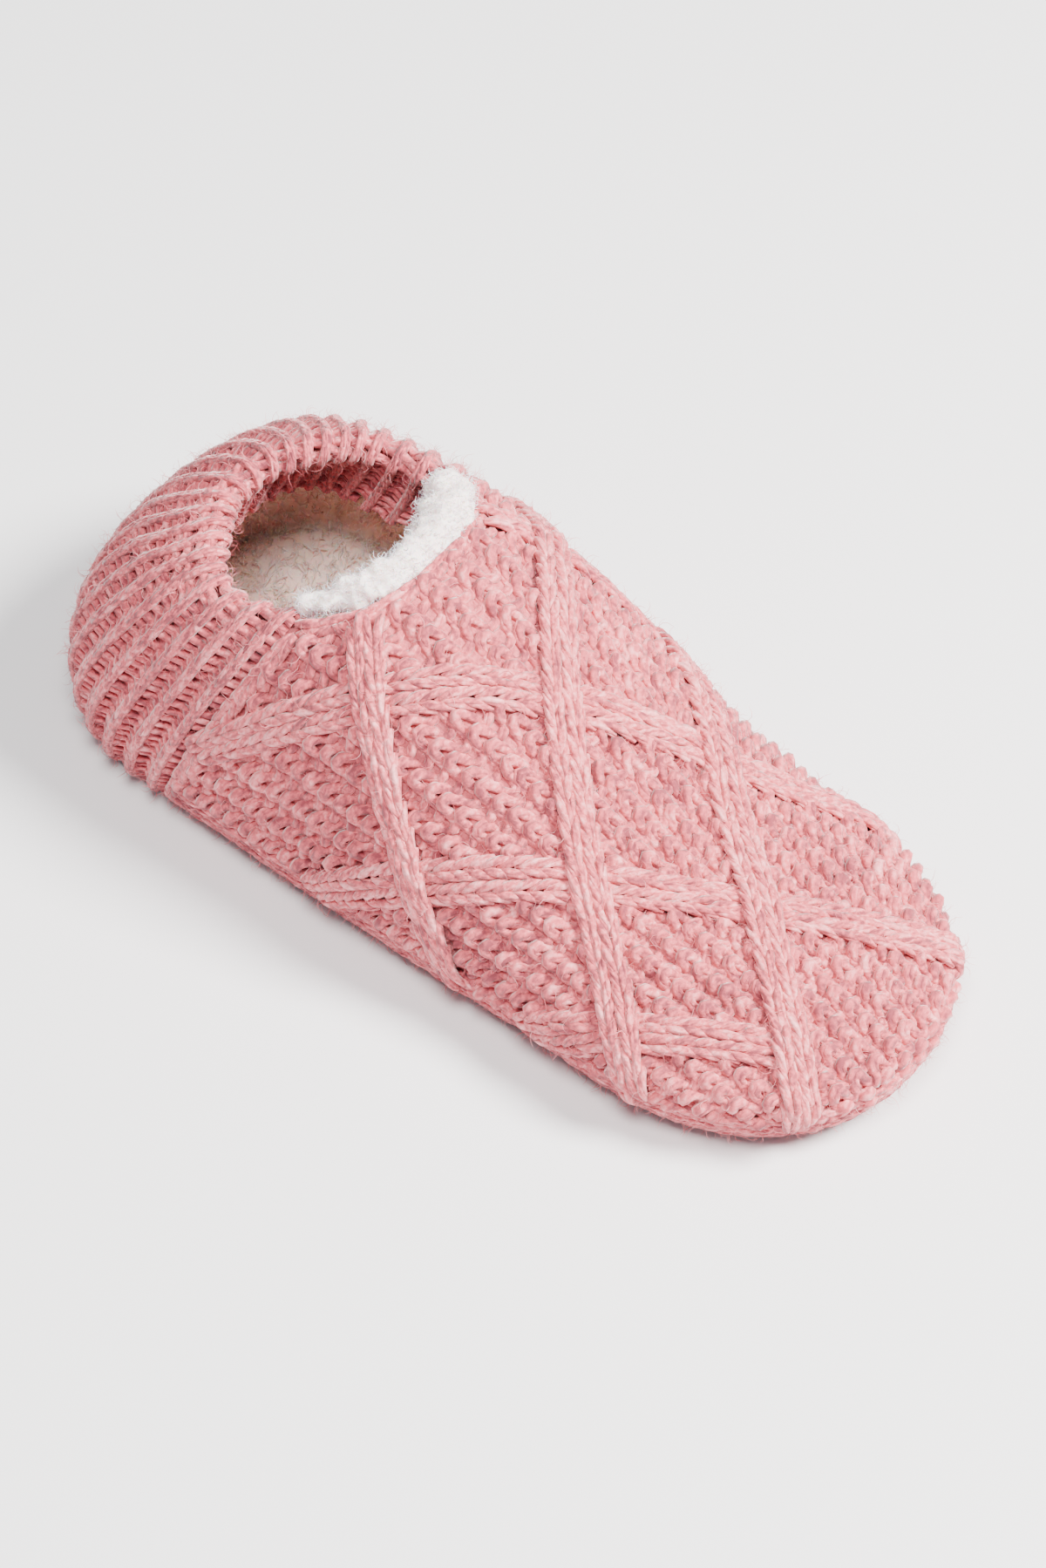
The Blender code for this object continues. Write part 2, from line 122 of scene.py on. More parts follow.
def profile(st, row):  # distance out and height: row 0 on the top line, 1 at the widest, 1.5 at the base
    out = np.sin(np.clip(row, 0, widestRow) * np.pi / 2)
    top = st["top"] + st["slope"] * out * st["reach"]
    share = np.clip(1 - out**st["dome"], 0, None)**(1 / st["shoulder"])
    turn = np.clip(row - widestRow, 0, None) / (baseRow - widestRow) * np.pi / 2
    upper = row <= widestRow
    away = np.where(upper, out * st["reach"], st["reach"] - foot["tuck"] * (1 - np.cos(turn)))
    height = np.where(upper, st["widest"] + (top - st["widest"]) * share,
                      st["widest"] - (st["widest"] - st["base"]) * np.sin(turn))
    return away, height


def skinPoint(st, row, lift, side):
    step = 0.004
    away, height = profile(st, row)
    near = profile(st, np.clip(row - step, 0, baseRow))
    far = profile(st, np.clip(row + step, 0, baseRow))
    run, fall = far[0] - near[0], far[1] - near[1]
    size = np.hypot(run, fall)
    aside = np.where(row > 0, -fall / size, 0.0)
    up = np.where(row > 0, run / size, 1.0)
    away = away + aside * lift
    return np.stack([st["x"] + st["headX"] * away, side * st["headY"] * away, height + up * lift], -1)


def arcTable(st):  # the girth of each station, and the row at each even share of it
    rows = np.linspace(0, baseRow, fineSteps)
    wide = {key: value[:, None] for key, value in st.items()}
    away, height = profile(wide, rows[None, :])
    steps = np.hypot(np.diff(away, axis=1), np.diff(height, axis=1))
    lengths = np.concatenate([np.zeros((len(steps), 1)), np.cumsum(steps, axis=1)], axis=1)
    girth = lengths[:, -1]
    shares = np.linspace(0, 1, fineSteps)
    table = np.array([np.interp(shares * whole, line, rows) for whole, line in zip(girth, lengths)])
    return girth, table


def blendTable(table, u, v):  # reads a table between its knots; u and v run from 0 to 1
    u = np.clip(u, 0, 1) * (table.shape[0] - 1)
    v = np.clip(v, 0, 1) * (table.shape[1] - 1)
    i = np.minimum(u.astype(int), table.shape[0] - 2)
    j = np.minimum(v.astype(int), table.shape[1] - 2)
    u, v = u - i, v - j
    if table.ndim == 3:
        u, v = u[..., None], v[..., None]
    low = table[i, j] * (1 - v) + table[i, j + 1] * v
    high = table[i + 1, j] * (1 - v) + table[i + 1, j + 1] * v
    return low * (1 - u) + high * u


sideAxis = np.linspace(heelX, toeX, 81)
turnAxis = np.linspace(0, np.pi / 2, 61)
sideGirth, sideRows = arcTable(sideStation(sideAxis))
toeGirth, toeRows = arcTable(endStation(turnAxis, "toe"))


def girthAt(x):
    return np.interp(x, sideAxis, sideGirth)


def flatPlace(x, y):  # from the front laid flat: round the toe or not, turn, row, distance left to the sole
    x, y = np.broadcast_arrays(np.asarray(x, float), np.asarray(y, float))
    ahead = np.maximum(x - toeX, 0)
    turn = np.arctan2(np.abs(y), np.maximum(ahead, 1e-9))
    atToe = x > toeX
    distance = np.where(atToe, np.hypot(ahead, y), np.abs(y))
    girth = np.where(atToe, np.interp(turn, turnAxis, toeGirth), girthAt(x))
    share = distance / girth
    row = np.where(atToe, blendTable(toeRows, turn / (np.pi / 2), share),
                   blendTable(sideRows, (x - heelX) / span, share))
    return atToe, turn, row, girth - distance


def frontPlace(x, y, lift):
    atToe, turn, row, _ = flatPlace(x, y)
    side = np.where(np.asarray(y) >= 0, 1.0, -1.0)
    straight = skinPoint(sideStation(np.minimum(x, toeX)), row, lift, side)
    rounded = skinPoint(endStation(turn, "toe"), row, lift, side)
    return np.where(atToe[..., None], rounded, straight)


def rowOfReach(share):
    return math.asin(min(1.0, share)) * 2 / math.pi


cornerShare = opening["throatHalfWidth"] / float(halfWidth(opening["cornerX"]))
cornerRow = rowOfReach(cornerShare)
cornerStation = sideStation(opening["cornerX"])
cornerHigh = float(profile(cornerStation, cornerRow)[1])


def backEdge(row):  # where the front panel begins: the throat above the corner, the seam below it
    row = np.asarray(row, float)
    throat = opening["throatX"] - (opening["throatX"] - opening["cornerX"]) * \
        (np.minimum(row, cornerRow) / cornerRow)**opening["throatCurve"]
    fall = (cornerHigh - profile(cornerStation, row)[1]) / (cornerHigh - float(cornerStation["base"]))
    seam = opening["cornerX"] + (opening["seamBaseX"] - opening["cornerX"]) * fall
    return np.where(row <= cornerRow, throat, seam)


def arcTurns(end):  # the turn at each share of the way round an end, and the length of that arc
    turns = np.linspace(np.pi / 2, 0, 181)
    st = endStation(turns, end)
    path = np.array([st["reach"] * np.cos(turns), st["reach"] * np.sin(turns)])
    lengths = np.concatenate([[0], np.cumsum(np.hypot(*np.diff(path, axis=1)))])
    return turns, lengths / lengths[-1], lengths[-1]


heelTurns, heelShares, heelArc = arcTurns("heel")
toeTurns, toeShares, _ = arcTurns("toe")


def heelPlace(share, row, lift, side):  # share 0 at the seam, 1 at the back of the heel
    share, row = np.broadcast_arrays(np.asarray(share, float), np.asarray(row, float))
    start = backEdge(row)
    straight = start - heelX
    arc = heelArc * np.sin(np.minimum(row, widestRow) * np.pi / 2)
    distance = share * (straight + arc)
    onSide = distance <= straight
    turn = np.interp(np.clip((distance - straight) / arc, 0, 1), heelShares, heelTurns)
    flat = skinPoint(sideStation(np.maximum(start - distance, heelX)), row, lift, side)
    rounded = skinPoint(endStation(turn, "heel"), row, lift, side)
    return np.where(onSide[..., None], flat, rounded)


def collarRow(share):  # a smooth curve through the collar's stages, from the throat corner to the back
    rounds = np.array(opening["collarRound"])
    reaches = np.array((cornerShare,) + opening["collarReach"])
    slopes = np.gradient(reaches, rounds)
    slopes[-1] = 0.0
    i = np.clip(np.searchsorted(rounds, share, side="right") - 1, 0, len(rounds) - 2)
    step = rounds[i + 1] - rounds[i]
    t = (share - rounds[i]) / step
    reach = reaches[i] + (reaches[i + 1] - reaches[i]) * (3 * t**2 - 2 * t**3)
    reach += slopes[i] * step * (t**3 - 2 * t**2 + t) + slopes[i + 1] * step * (t**3 - t**2)
    return np.arcsin(reach) * 2 / np.pi


def lengthsAlong(line):  # the distance run at each point of a line
    return np.concatenate([[0], np.cumsum(np.linalg.norm(np.diff(line, axis=0), axis=1))])


def readLine(stops, lengths, line):  # the values of a line at other distances
    return np.stack([np.interp(stops, lengths, line[:, k]) for k in range(3)], -1)


def keptStretches(keep):  # the start and stop of each unbroken stretch that is kept
    marks = np.flatnonzero(np.diff(np.concatenate([[0], keep.astype(int), [0]])))
    return list(zip(marks[::2], marks[1::2]))


# One wire of a node tree that takes part in arithmetic
class Wire:
    def __init__(self, graph, socket):
        self.graph = graph
        self.socket = socket

    def math(self, operation, *values):
        return self.graph.make("ShaderNodeMath", {"operation": operation}, dict(enumerate(values)))

    def __add__(self, other):
        return self.math("ADD", self, other)

    def __radd__(self, other):
        return self.math("ADD", other, self)

    def __sub__(self, other):
        return self.math("SUBTRACT", self, other)

    def __rsub__(self, other):
        return self.math("SUBTRACT", other, self)

    def __mul__(self, other):
        return self.math("MULTIPLY", self, other)

    def __rmul__(self, other):
        return self.math("MULTIPLY", other, self)

    def __truediv__(self, other):
        return self.math("DIVIDE", self, other)

    def __rtruediv__(self, other):
        return self.math("DIVIDE", other, self)

    def sin(self):
        return self.math("SINE", self)

    def floor(self):
        return self.math("FLOOR", self)

    def abs(self):
        return self.math("ABSOLUTE", self)


# A node tree, of a material or of Geometry Nodes, whose nodes all come from one method
class Graph:
    def __init__(self, tree):
        self.tree = tree

    def make(self, kind, settings=None, values=None, out=0):  # out None gives the node, not a wire
        node = self.tree.nodes.new(kind)
        for name, value in (settings or {}).items():
            if name == "stops":
                ramp = node.color_ramp.elements
                for stop, (place, colour) in zip([ramp[0], ramp[1]], (value[0], value[-1])):
                    stop.position = place
                    stop.color = (*colour, 1.0)
                for place, colour in value[1:-1]:
                    ramp.new(place).color = (*colour, 1.0)
            else:
                setattr(node, name, value)
        for key, value in (values or {}).items():
            if isinstance(value, Wire):
                self.tree.links.new(value.socket, node.inputs[key])
            else:
                node.inputs[key].default_value = value
        return node if out is None else Wire(self, node.outputs[out])

    def attribute(self, name, out="Fac"):
        return self.make("ShaderNodeAttribute", {"attribute_name": name}, {}, out)

    def objectPlace(self):
        return self.make("ShaderNodeTexCoord", {}, {}, "Object")

    def axis(self, wire, name):
        return self.make("ShaderNodeSeparateXYZ", {}, {0: wire}, name)

    def vector(self, x=0.0, y=0.0, z=0.0):
        return self.make("ShaderNodeCombineXYZ", {}, {"X": x, "Y": y, "Z": z})

    def noise(self, place, size, detail=2.0, roughness=0.5):
        return self.make("ShaderNodeTexNoise", {}, {
            "Vector": place, "Scale": 1 / size, "Detail": detail, "Roughness": roughness})

    def ramp(self, share, *stops):
        return self.make("ShaderNodeValToRGB", {"stops": stops}, {"Fac": share})

    def bump(self, height, strength, depth):
        return self.make("ShaderNodeBump", {}, {"Height": height, "Strength": strength, "Distance": depth})

    def store(self, geometry, name, value, domain="POINT", kind="FLOAT"):
        return self.make("GeometryNodeStoreNamedAttribute", {"data_type": kind, "domain": domain},
                         {"Geometry": geometry, "Name": name, "Value": value})

    def tube(self, curve, thick, sides, named=None):  # a round tube along a curve
        ring = self.make("GeometryNodeCurvePrimitiveCircle", {}, {"Resolution": sides, "Radius": 1.0})
        if named:
            ring = self.store(ring, named, self.make("GeometryNodeInputPosition"), kind="FLOAT_VECTOR")
        return self.make("GeometryNodeCurveToMesh", {}, {
            "Curve": curve, "Profile Curve": ring, "Scale": thick, "Fill Caps": True})


def geometryTree(name, sizes):  # a Geometry Nodes tree and a wire for each named input
    tree = bpy.data.node_groups.new(name, "GeometryNodeTree")
    tree.interface.new_socket("Geometry", in_out="OUTPUT", socket_type="NodeSocketGeometry")
    for label, kind in {"Geometry": "Geometry", **sizes}.items():
        tree.interface.new_socket(label, in_out="INPUT", socket_type="NodeSocket" + kind)
    graph = Graph(tree)
    source = graph.make("NodeGroupInput", out=None)
    return graph, {socket.name: Wire(graph, socket) for socket in source.outputs if socket.name}


def endTree(graph, geometry, material):
    geometry = graph.make("GeometryNodeSetShadeSmooth", {}, {"Geometry": geometry, "Shade Smooth": True})
    geometry = graph.make("GeometryNodeRealizeInstances", {}, {0: geometry})
    geometry = graph.make("GeometryNodeSetMaterial", {}, {"Geometry": geometry, "Material": material})
    graph.make("NodeGroupOutput", {}, {0: geometry}, None)
    return graph.tree


def addPiece(name, data, material=None):
    piece = bpy.data.objects.new(name, data)
    bpy.context.scene.collection.objects.link(piece)
    if material:
        data.materials.append(material)
    return piece


def growPiece(name, data, tree, values):  # runs a tree on a mesh and keeps the result as a plain mesh
    seed = addPiece(name + "Seed", data)
    modifier = seed.modifiers.new("grow", "NODES")
    modifier.node_group = tree
    for item in tree.interface.items_tree:
        if item.in_out == "INPUT" and item.name in values:
            modifier[item.identifier] = values[item.name]
    graph = bpy.context.evaluated_depsgraph_get()
    mesh = bpy.data.meshes.new_from_object(seed.evaluated_get(graph), preserve_all_data_layers=True,
                                           depsgraph=graph)
    seed.modifiers.remove(modifier)
    bpy.data.objects.remove(seed)
    mesh.name = name
    print(name, "triangles", sum(len(face.vertices) - 2 for face in mesh.polygons))
    return addPiece(name, mesh)


def yarnTree():  # sweeps a round yarn along every run of edges
    graph, wire = geometryTree("yarnAlongRuns", {"Sides": "Int", "Yarn": "Material"})
    thick = graph.make("GeometryNodeInputNamedAttribute", {"data_type": "FLOAT"}, {"Name": "thick"})
    curve = graph.make("GeometryNodeMeshToCurve", {}, {"Mesh": wire["Geometry"]})
    curve = graph.make("GeometryNodeSetCurveRadius", {}, {"Curve": curve, "Radius": thick})
    curve = graph.store(curve, "run", graph.make("GeometryNodeSplineParameter", {}, {}, "Length"))
    return endTree(graph, graph.tube(curve, thick, wire["Sides"], "around"), wire["Yarn"])


def pileTree():  # bent, tapered fibres that stand on a surface, leaning all ways
    graph, wire = geometryTree("pileOnSurface", {
        "Density": "Float", "Length": "Float", "Thickness": "Float", "Bend": "Float",
        "Lean": "Float", "Steps": "Int", "Sides": "Int", "Seed": "Int", "Fibre": "Material"})
    points = graph.make("GeometryNodeDistributePointsOnFaces", {}, {
        "Mesh": wire["Geometry"], "Density": wire["Density"], "Seed": wire["Seed"]}, None)
    middle = graph.vector(wire["Bend"], 0.0, wire["Length"] * 0.55)
    tip = graph.vector(wire["Bend"] * -0.4, wire["Bend"] * 0.5, wire["Length"])
    spine = graph.make("GeometryNodeCurveQuadraticBezier", {},
                       {"Resolution": wire["Steps"], "Start": (0, 0, 0), "Middle": middle, "End": tip})
    part = graph.make("GeometryNodeSplineParameter")
    taper = wire["Thickness"] * (1.0 - 0.75 * part * part)
    spine = graph.make("GeometryNodeSetCurveRadius", {}, {"Curve": spine, "Radius": taper})
    fibre = graph.tube(spine, taper, wire["Sides"])
    fullTurn = 6.283
    low = graph.vector(wire["Lean"] * -1.0, wire["Lean"] * -1.0)
    high = graph.vector(wire["Lean"], wire["Lean"], fullTurn)
    tilt = graph.make("FunctionNodeRandomValue", {"data_type": "FLOAT_VECTOR"},
                      {0: low, 1: high, "Seed": wire["Seed"]})
    turn = graph.make("FunctionNodeRotateRotation", {"rotation_space": "LOCAL"},
                      {"Rotation": Wire(graph, points.outputs["Rotation"]),
                       "Rotate By": graph.make("FunctionNodeEulerToRotation", {}, {0: tilt})})
    size, shade = (
        graph.make("FunctionNodeRandomValue", {"data_type": "FLOAT"},
                   {2: least, 3: most, "Seed": wire["Seed"] + step}, 1)
        for least, most, step in ((0.65, 1.25, 3), (0.0, 1.0, 5)))
    grown = graph.make("GeometryNodeInstanceOnPoints", {}, {
        "Points": Wire(graph, points.outputs["Points"]), "Instance": fibre, "Rotation": turn, "Scale": size})
    return endTree(graph, graph.store(grown, "strand", shade, "INSTANCE"), wire["Fibre"])


def puffTree():  # pushes a surface in and out in soft lumps
    graph, wire = geometryTree("puffedSurface", {"Lump Size": "Float", "Lump Height": "Float",
                                                 "Cloth": "Material"})
    noise = graph.noise(graph.make("GeometryNodeInputPosition"), wire["Lump Size"])
    push = graph.make("ShaderNodeVectorMath", {"operation": "SCALE"},
                      {0: graph.make("GeometryNodeInputNormal"),
                       "Scale": (noise - 0.5) * 2.0 * wire["Lump Height"]})
    puffed = graph.make("GeometryNodeSetPosition", {}, {"Geometry": wire["Geometry"], "Offset": push})
    return endTree(graph, puffed, wire["Cloth"])


def newMaterial(name):
    material = bpy.data.materials.new(name)
    material.use_nodes = True
    return material, Graph(material.node_tree)


def setShader(graph, constants, wires):
    shader = graph.tree.nodes["Principled BSDF"]
    for name, value in constants.items():
        shader.inputs[name].default_value = value
    for name, value in wires.items():
        graph.tree.links.new(value.socket, shader.inputs[name])


# Yarn: soft plies twisted about each other, each its own tint, with pale and dark fibres marled through and
# painted shade in the grooves between plies
yarnLook = {
    "pink": (0.66, 0.126, 0.146), "pale": (0.94, 0.39, 0.41), "deep": (0.28, 0.056, 0.073),
    "plies": 3, "twistPitch": 24.0 * mm, "plyDepth": 0.38 * mm, "tintLength": 5.0 * mm,
    "fibreLength": 2.6 * mm, "marlSize": 1.7 * mm, "patchSize": 16 * mm, "lightness": 0.24,
    "tintShare": 1.2, "marlShare": 0.9, "fibreShare": 1.4, "patchShare": 0.35, "plyGrooveShade": 0.12,
    "strandShare": 0.18, "fibreRelief": 0.9, "marlRelief": 0.5,
}


# The number shifts the whole colour ramp: darker for painted shade, lighter for painted light, and on the
# seam yarn for its own darker tone
def yarnMaterial(name, paintedShadeAndTone, look=yarnLook):
    material, graph = newMaterial(name)
    around = graph.attribute("around", "Vector")
    run = graph.attribute("run")
    strand = graph.attribute("strand")
    turn = graph.make("ShaderNodeMath", {"operation": "ARCTAN2"},
                      {0: graph.axis(around, "Y"), 1: graph.axis(around, "X")})
    twist = (turn * (1 / (2 * math.pi)) + run * (1 / look["twistPitch"]) + strand) * look["plies"]
    ply = twist.floor()
    groove = ((twist - ply) - 0.5).abs() * 2.0
    swell = 1.0 - groove * groove
    kind = ply - (ply * (1 / look["plies"])).floor() * look["plies"]
    place = graph.objectPlace()
    marl = graph.noise(place, look["marlSize"], 3.0, 0.65)
    patch = graph.noise(place, look["patchSize"])
    tint = graph.noise(graph.vector(kind * 3.7, run * (1 / look["tintLength"]), strand * 53.0), 1.0, 1.0)
    fibre = graph.noise(graph.vector(twist * 1.1, run * (1 / look["fibreLength"]), strand * 40.0), 0.5, 3.0)
    # swell lightens each ply's crown and darkens the grooves between plies: painted shade in the grooves
    blend = (tint - 0.5) * look["tintShare"] + (marl - 0.5) * look["marlShare"] \
        + (fibre - 0.5) * look["fibreShare"] + (patch - 0.5) * look["patchShare"] \
        + swell * look["plyGrooveShade"] + strand * look["strandShare"] + (look["lightness"] - paintedShadeAndTone)
    colour = graph.ramp(blend, (0.0, look["deep"]), (0.42, look["pink"]), (1.0, look["pale"]))
    height = swell + (fibre - 0.5) * look["fibreRelief"] + (marl - 0.5) * look["marlRelief"]
    bump = graph.bump(height, 0.85, look["plyDepth"])
    setShader(graph, {"Roughness": 0.88, "Sheen Weight": 0.42, "Sheen Roughness": 0.45,
                      "Sheen Tint": (1.0, 0.85, 0.84, 1.0), "Specular IOR Level": 0.15},
              {"Base Color": colour, "Normal": bump})
    return material


# A dark red sheet behind the yarn, which shows only in the gaps: its colour is painted shade for the gaps
# between the yarns
gapShadeLook = {"shade": (0.40, 0.07, 0.09), "light": (0.68, 0.16, 0.18), "grain": 1.3 * mm, "depth": 1.0 * mm}


def gapShadeMaterial(name, look=gapShadeLook):
    material, graph = newMaterial(name)
    grain = graph.noise(graph.objectPlace(), look["grain"], 3.0)
    colour = graph.ramp(grain, (0.3, look["shade"]), (0.7, look["light"]))
    setShader(graph, {"Roughness": 0.95, "Sheen Weight": 0.2},
              {"Base Color": colour, "Normal": graph.bump(grain, 0.9, look["depth"])})
    return material


# Fleece: short curled pile in clumps, whiter at the throat than inside
fleeceLook = {"clump": 3.2 * mm, "curl": 0.7 * mm, "depth": 0.6 * mm, "glow": 3 * mm,
              "clumpShare": 0.6, "curlShare": 0.3, "strandShare": 0.25, "clumpRelief": 1.2}


def fleeceMaterial(name, light, shade, look=fleeceLook):
    material, graph = newMaterial(name)
    place = graph.objectPlace()
    strand = graph.attribute("strand")
    clump = graph.noise(place, look["clump"])
    curl = graph.noise(place, look["curl"], 3.0)
    blend = clump * look["clumpShare"] + curl * look["curlShare"] + strand * look["strandShare"]
    colour = graph.ramp(blend, (0.2, shade), (0.75, light))
    bump = graph.bump(clump * look["clumpRelief"] + curl, 0.6, look["depth"])
    setShader(graph, {"Roughness": 0.95, "Sheen Weight": 0.2, "Sheen Roughness": 0.6,
                      "Sheen Tint": (1.0, 0.93, 0.90, 1.0), "Subsurface Weight": 0.5,
                      "Subsurface Scale": look["glow"]}, {"Base Color": colour, "Normal": bump})
    return material


# Sole: the same yarn in a flat plain knit, its columns lengthwise, with painted shade in the hollows between
# the stitch legs and painted light on their tops
soleLook = {"column": 4.4 * mm, "course": 3.4 * mm, "grain": 0.8 * mm, "depth": 1.1 * mm,
            "legSteepness": 3.6, "slant": 1.9, "reliefShade": 0.7, "grainShare": 0.35, "grainRelief": 0.25,
            "pink": (0.60, 0.15, 0.165), "deep": (0.32, 0.07, 0.085), "pale": (0.80, 0.32, 0.33)}


def soleMaterial(name, look=soleLook):
    material, graph = newMaterial(name)
    place = graph.objectPlace()
    along = graph.axis(place, "X") * (1 / look["course"])
    across = graph.axis(place, "Y") * (1 / look["column"])
    side = (across - across.floor() - 0.5).abs()
    leg = 1.0 - (side - 0.25).abs() * look["legSteepness"]
    chevron = along + side * look["slant"]
    height = leg * ((chevron - chevron.floor()) * math.pi).sin()
    grain = graph.noise(place, look["grain"], 3.0)
    # the colour follows the stitch relief: painted shade in the hollows, painted light on the raised legs
    colour = graph.ramp(height * look["reliefShade"] + grain * look["grainShare"],
                        (0.0, look["deep"]), (0.5, look["pink"]), (1.0, look["pale"]))
    bump = graph.bump(height + grain * look["grainRelief"], 0.9, look["depth"])
    setShader(graph, {"Roughness": 0.92, "Sheen Weight": 0.25}, {"Base Color": colour, "Normal": bump})
    return material


# The finishes. A yarn's number darkens it: on the copies of the one pink yarn it is painted shade on the
# ground, the ribs and the edges, and painted light on the cables and the fuzz; on the seam yarn it is that
# yarn's own darker tone
groundYarn = yarnMaterial("groundYarn", 0.09)
cableYarn = yarnMaterial("cableYarn", -0.03)
ribYarn = yarnMaterial("ribYarn", 0.07)
edgeYarn = yarnMaterial("edgeYarn", 0.03)
seamYarn = yarnMaterial("seamYarn", 0.34)
fuzzFibre = yarnMaterial("fuzzFibre", -0.15)
gapShadeSheet = gapShadeMaterial("gapShadeSheet")
whiteFleece = fleeceMaterial("whiteFleece", (1.0, 0.88, 0.86), (1.0, 0.82, 0.80))
creamFleece = fleeceMaterial("creamFleece", (1.0, 0.77, 0.68), (1.0, 0.67, 0.57))
soleKnit = soleMaterial("soleKnit")
yarnSweep = yarnTree()
pile = pileTree()
puff = puffTree()
print("materials and trees ready")


# A bundle of yarn runs, gathered before they are swept into one piece
class Runs:
    def __init__(self):
        self.points = []
        self.edges = []
        self.thick = []
        self.strand = []
        self.count = 0

    def add(self, points, thick, shade):
        size = len(points)
        self.points.append(points)
        self.thick.append(np.broadcast_to(thick, (size,)))
        self.strand.append(np.full(size, shade))
        first = np.arange(self.count, self.count + size - 1)
        self.edges.append(np.stack([first, first + 1], -1))
        self.count += size

    def addMasked(self, points, thick, shade, keep, least=4):
        for start, stop in keptStretches(keep):
            if stop - start >= least:
                self.add(points[start:stop], thick[start:stop], shade)

    def sweep(self, name, sides, material):
        mesh = bpy.data.meshes.new(name + "Runs")
        mesh.from_pydata(np.concatenate(self.points).tolist(), np.concatenate(self.edges).tolist(), [])
        for label, values in (("thick", self.thick), ("strand", self.strand)):
            layer = mesh.attributes.new(label, "FLOAT", "POINT")
            layer.data.foreach_set("value", np.concatenate(values).astype(np.float32))
        return growPiece(name, mesh, yarnSweep, {"Sides": sides, "Yarn": material})


# The lattice of cable strips, in the knit's own measures: along the foot and share of the way round.
# The last pair of strips begins at the sole's edge, and only the near one shows, up to its crossing
lattice = {
    "start": 0.0604 * foot["length"], "step": 0.1250 * foot["length"], "spread": 0.325,
    "courseBow": 0.0583 * foot["length"], "first": -1, "last": 2,
    "width": 9.2 * mm, "overLift": 1.85 * mm, "underLift": 1.30 * mm, "endGap": 9.5 * mm,
    "throatGap": 1.5 * mm, "spots": 801,
}
latticeSlope = lattice["spread"] / lattice["step"]


def stripKept(number, along, across):
    crossing = lattice["start"] + 2 * number * lattice["step"]
    toeEnd = (number < lattice["last"]) | ((across < 0) & (along < crossing - lattice["step"]))
    return (number >= lattice["first"]) & (number <= lattice["last"]) & toeEnd


def knitPlace(along, across):  # from the knit's measures to the front laid flat
    x = along - lattice["courseBow"] * across**2
    return x, across * girthAt(np.minimum(x, toeX))


def stripDistance(along, across, direction):  # how far a stitch lies from the nearest strip of one slant
    gap = 2 * lattice["step"]
    offset = along - direction * across / latticeSlope - lattice["start"]
    number = np.round(offset / gap)
    girth = girthAt(np.minimum(along, toeX))
    distance = (offset - gap * number) * np.sin(np.arctan(latticeSlope * girth))
    return np.where(stripKept(number, along, across), distance, gap)


def knitOf(x, y):  # from the flat front back to the knit's measures
    across = y / girthAt(np.minimum(x, toeX))
    return x + lattice["courseBow"] * across**2, across


# Purl ground: wavy rows of loop heads and feet, each course one yarn right across the foot
purl = {
    "course": 4.3 * mm, "courses": (-26, 32), "wale": 1 / 11, "reach": 0.55, "lean": 0.05,
    "depth": 0.75 * mm, "headRise": 1.5 * mm, "thick": 1.52 * mm, "fullness": 0.95, "headThins": 0.10,
    "points": 12, "sides": 7, "underStrip": 2.5 * mm, "edgeGap": 9.0 * mm, "throatGap": 1.0 * mm,
    "reachStray": 0.10, "placeStray": 0.25 * mm, "liftStray": 0.22 * mm,
}


def knitGround(look=purl):
    runs = Runs()
    wales = 2 * round(1.0 / look["wale"])
    t = np.arange(0, wales * look["points"] + 1) / look["points"] * 2 * np.pi
    stitch = np.minimum((t / (2 * np.pi)).astype(int), wales - 1)
    for course in range(*look["courses"]):
        wobble = rng.normal(0, 1, (3, wales))
        reach = look["course"] * look["reach"] * (1 + look["reachStray"] * wobble[0, stitch])
        along = look["course"] * course + reach * np.cos(t) + look["placeStray"] * wobble[1, stitch]
        across = -1 + look["wale"] * (t / (2 * np.pi) + look["lean"] * np.sin(2 * t))
        x, y = knitPlace(along, across)
        _, _, row, left = flatPlace(x, y)
        lift = look["depth"] * np.cos(2 * t) + look["liftStray"] * wobble[2, stitch]
        lift -= look["headRise"] / 2 * np.cos(t)
        keep = (left > look["edgeGap"]) & (x > backEdge(row) + look["throatGap"])
        for direction in (1, -1):
            keep &= np.abs(stripDistance(along, across, direction)) > look["underStrip"]
        thick = look["thick"] * (look["fullness"] - look["headThins"] * np.cos(t))
        runs.addMasked(frontPlace(x, y, lift), thick, float(rng.random()), keep)
    return runs.sweep("purlGround", look["sides"], groundYarn)


# A path on the flat front that stitches are laid along
class FlatPath:
    def __init__(self, x, y):
        self.lengths = np.concatenate([[0], np.cumsum(np.hypot(np.diff(x), np.diff(y)))])
        self.x = x
        self.y = y
        self.length = self.lengths[-1]

    def spot(self, run):
        return np.stack([np.interp(run, self.lengths, axis) for axis in (self.x, self.y)])

    def at(self, run, offset):
        spot = self.spot(run)
        way = self.spot(run + 1 * mm) - self.spot(run - 1 * mm)
        way = way / np.maximum(np.hypot(way[0], way[1]), 1e-9)
        return spot[0] - way[1] * offset, spot[1] + way[0] * offset


# How the leg of a V stitch swells between its thin ends, and how unevenly the legs lie
legForm = {"start": 0.08, "run": 0.84, "power": 0.7, "thinEnd": 0.40, "overhang": 0.3,
           "lengthStray": 0.05, "placeStray": 0.12 * mm}


def legSwell(parts):
    return np.sin(np.pi * (legForm["start"] + legForm["run"] * parts))


def legThickness(swell, thinEnd):
    return thinEnd + (1 - thinEnd) * swell**legForm["power"]


